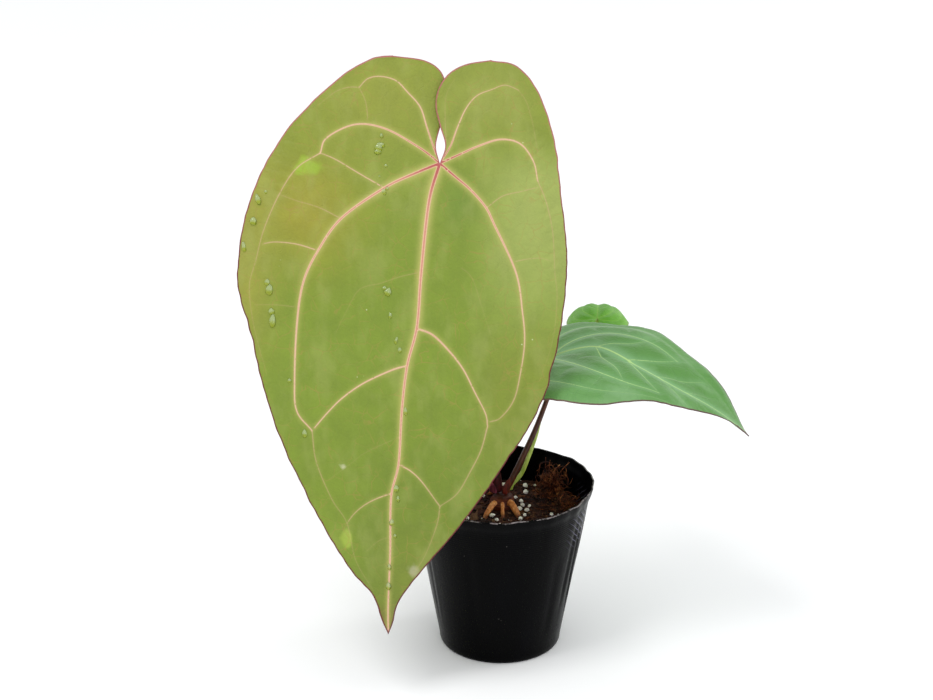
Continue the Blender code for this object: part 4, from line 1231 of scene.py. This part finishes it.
def plain_lamina(base, edge_colour, tip_colour, length):
    """One green with a wash towards the margin and another at the tip."""

    def lamina(plan):
        u, v = plan.T
        plain = np.tile(linear(*base), (len(plan), 1))
        share = 0.5 * smoothed(np.abs(u), 0.12 * length, 0.36 * length)
        plain += (linear(*edge_colour) - plain) * share[:, None]
        plain += (linear(*tip_colour) - plain) * (0.9 * smoothed(v, 0.93 * length, length))[:, None]
        return plain

    return lamina


# The second leaf's midrib wanders: share of the length from the joint, and how far it lies aside
WANDER = ((-0.3, 0), (0, 0), (0.1, 0.045), (0.21, 0.07), (0.35, 0.02), (0.5, -0.05), (0.65, -0.075),
          (0.85, -0.04), (1, 0))


def wandering(line):
    """Moves a line's points aside with the midrib, less so towards the margin."""
    along, aside = np.array(WANDER).T
    return [(u + np.interp(v, along, aside) * (1 - min(1, abs(u) / 0.37)), v) for u, v in line]


second_halves = [[lobe, wandering(rib), margin] for lobe, rib, margin in young_halves]
second_veins = [(wandering(points), *rest) for points, *rest in young_veins(1.15)]
second = Blade((23.3 * MM, 17.5 * MM, 142 * MM), heading=-22.5, pitch=16.5, roll=7, radius=0.098,
               fold=14, cup=8, length=109 * MM, lift=1.3 * MM)
waxy = {"Specular IOR Level": 0.4, "Sheen Weight": 0.2, "Sheen Roughness": 0.35}
# The second leaf's whitish clouds are partly its bloom and partly painted velvety sheen
second_skin = leaf_finish("second leaf", waxy, vein_colour=screen(176, 210, 132),
                          joint_colour=screen(140, 170, 100), pale_vein=screen(170, 208, 130),
                          border_colour=screen(128, 176, 122),
                          rim_colours=(screen(120, 92, 84), screen(92, 66, 62)),
                          net_colour=screen(70, 118, 74), cloud_colour=screen(150, 186, 142),
                          borders=0.9, net_scale=190, net=0.3, gloss=0.38)
second_leaf = leaf("second_leaf", second, second_halves, second_veins,
                   plain_lamina((84, 134, 62), (104, 152, 86), (140, 122, 84), 109), 0.6, spacing=0.8,
                   quilt=(1.7, 6), ridge=0.1, halo=6)
settle(second_leaf, "second_leaf", "blade_green", ["blade_second"], second_skin)

# ------------------------------------------------------------------------------------ the small leaf
# The newest leaf stands behind the second one and points away. It is a fresh bright green, deeply
# puffed beside its sunken midrib.

small = Blade((48.5 * MM, 58 * MM, 146.5 * MM), heading=86, pitch=16, roll=0, radius=0.034, fold=2,
              cup=30, length=42 * MM, lift=1.3 * MM)
waxy = {"Specular IOR Level": 0.4, "Sheen Weight": 0.05, "Sheen Roughness": 0.4}
small_skin = leaf_finish("small leaf", waxy, vein_colour=screen(132, 188, 66),
                         joint_colour=screen(110, 150, 50), pale_vein=screen(124, 184, 60),
                         border_colour=screen(112, 176, 48),
                         rim_colours=(screen(112, 150, 52), screen(98, 130, 46)),
                         net_colour=screen(62, 124, 16), cloud_colour=screen(142, 192, 90),
                         mottle=0.35, borders=0.35, net_scale=300, net=0.3, gloss=0.36)
small_leaf = leaf("small_leaf", small, young_halves, young_veins(0.6),
                  plain_lamina((84, 150, 18), (108, 170, 40), (110, 130, 50), 42), 0.6, spacing=0.5,
                  quilt=(1.3, 3), ridge=0.05, halo=4)
settle(small_leaf, "small_leaf", "blade_fresh_green", ["blade_small"], small_skin)

# -------------------------------------------------------------------------------------- the finish

bpy.context.view_layer.update()
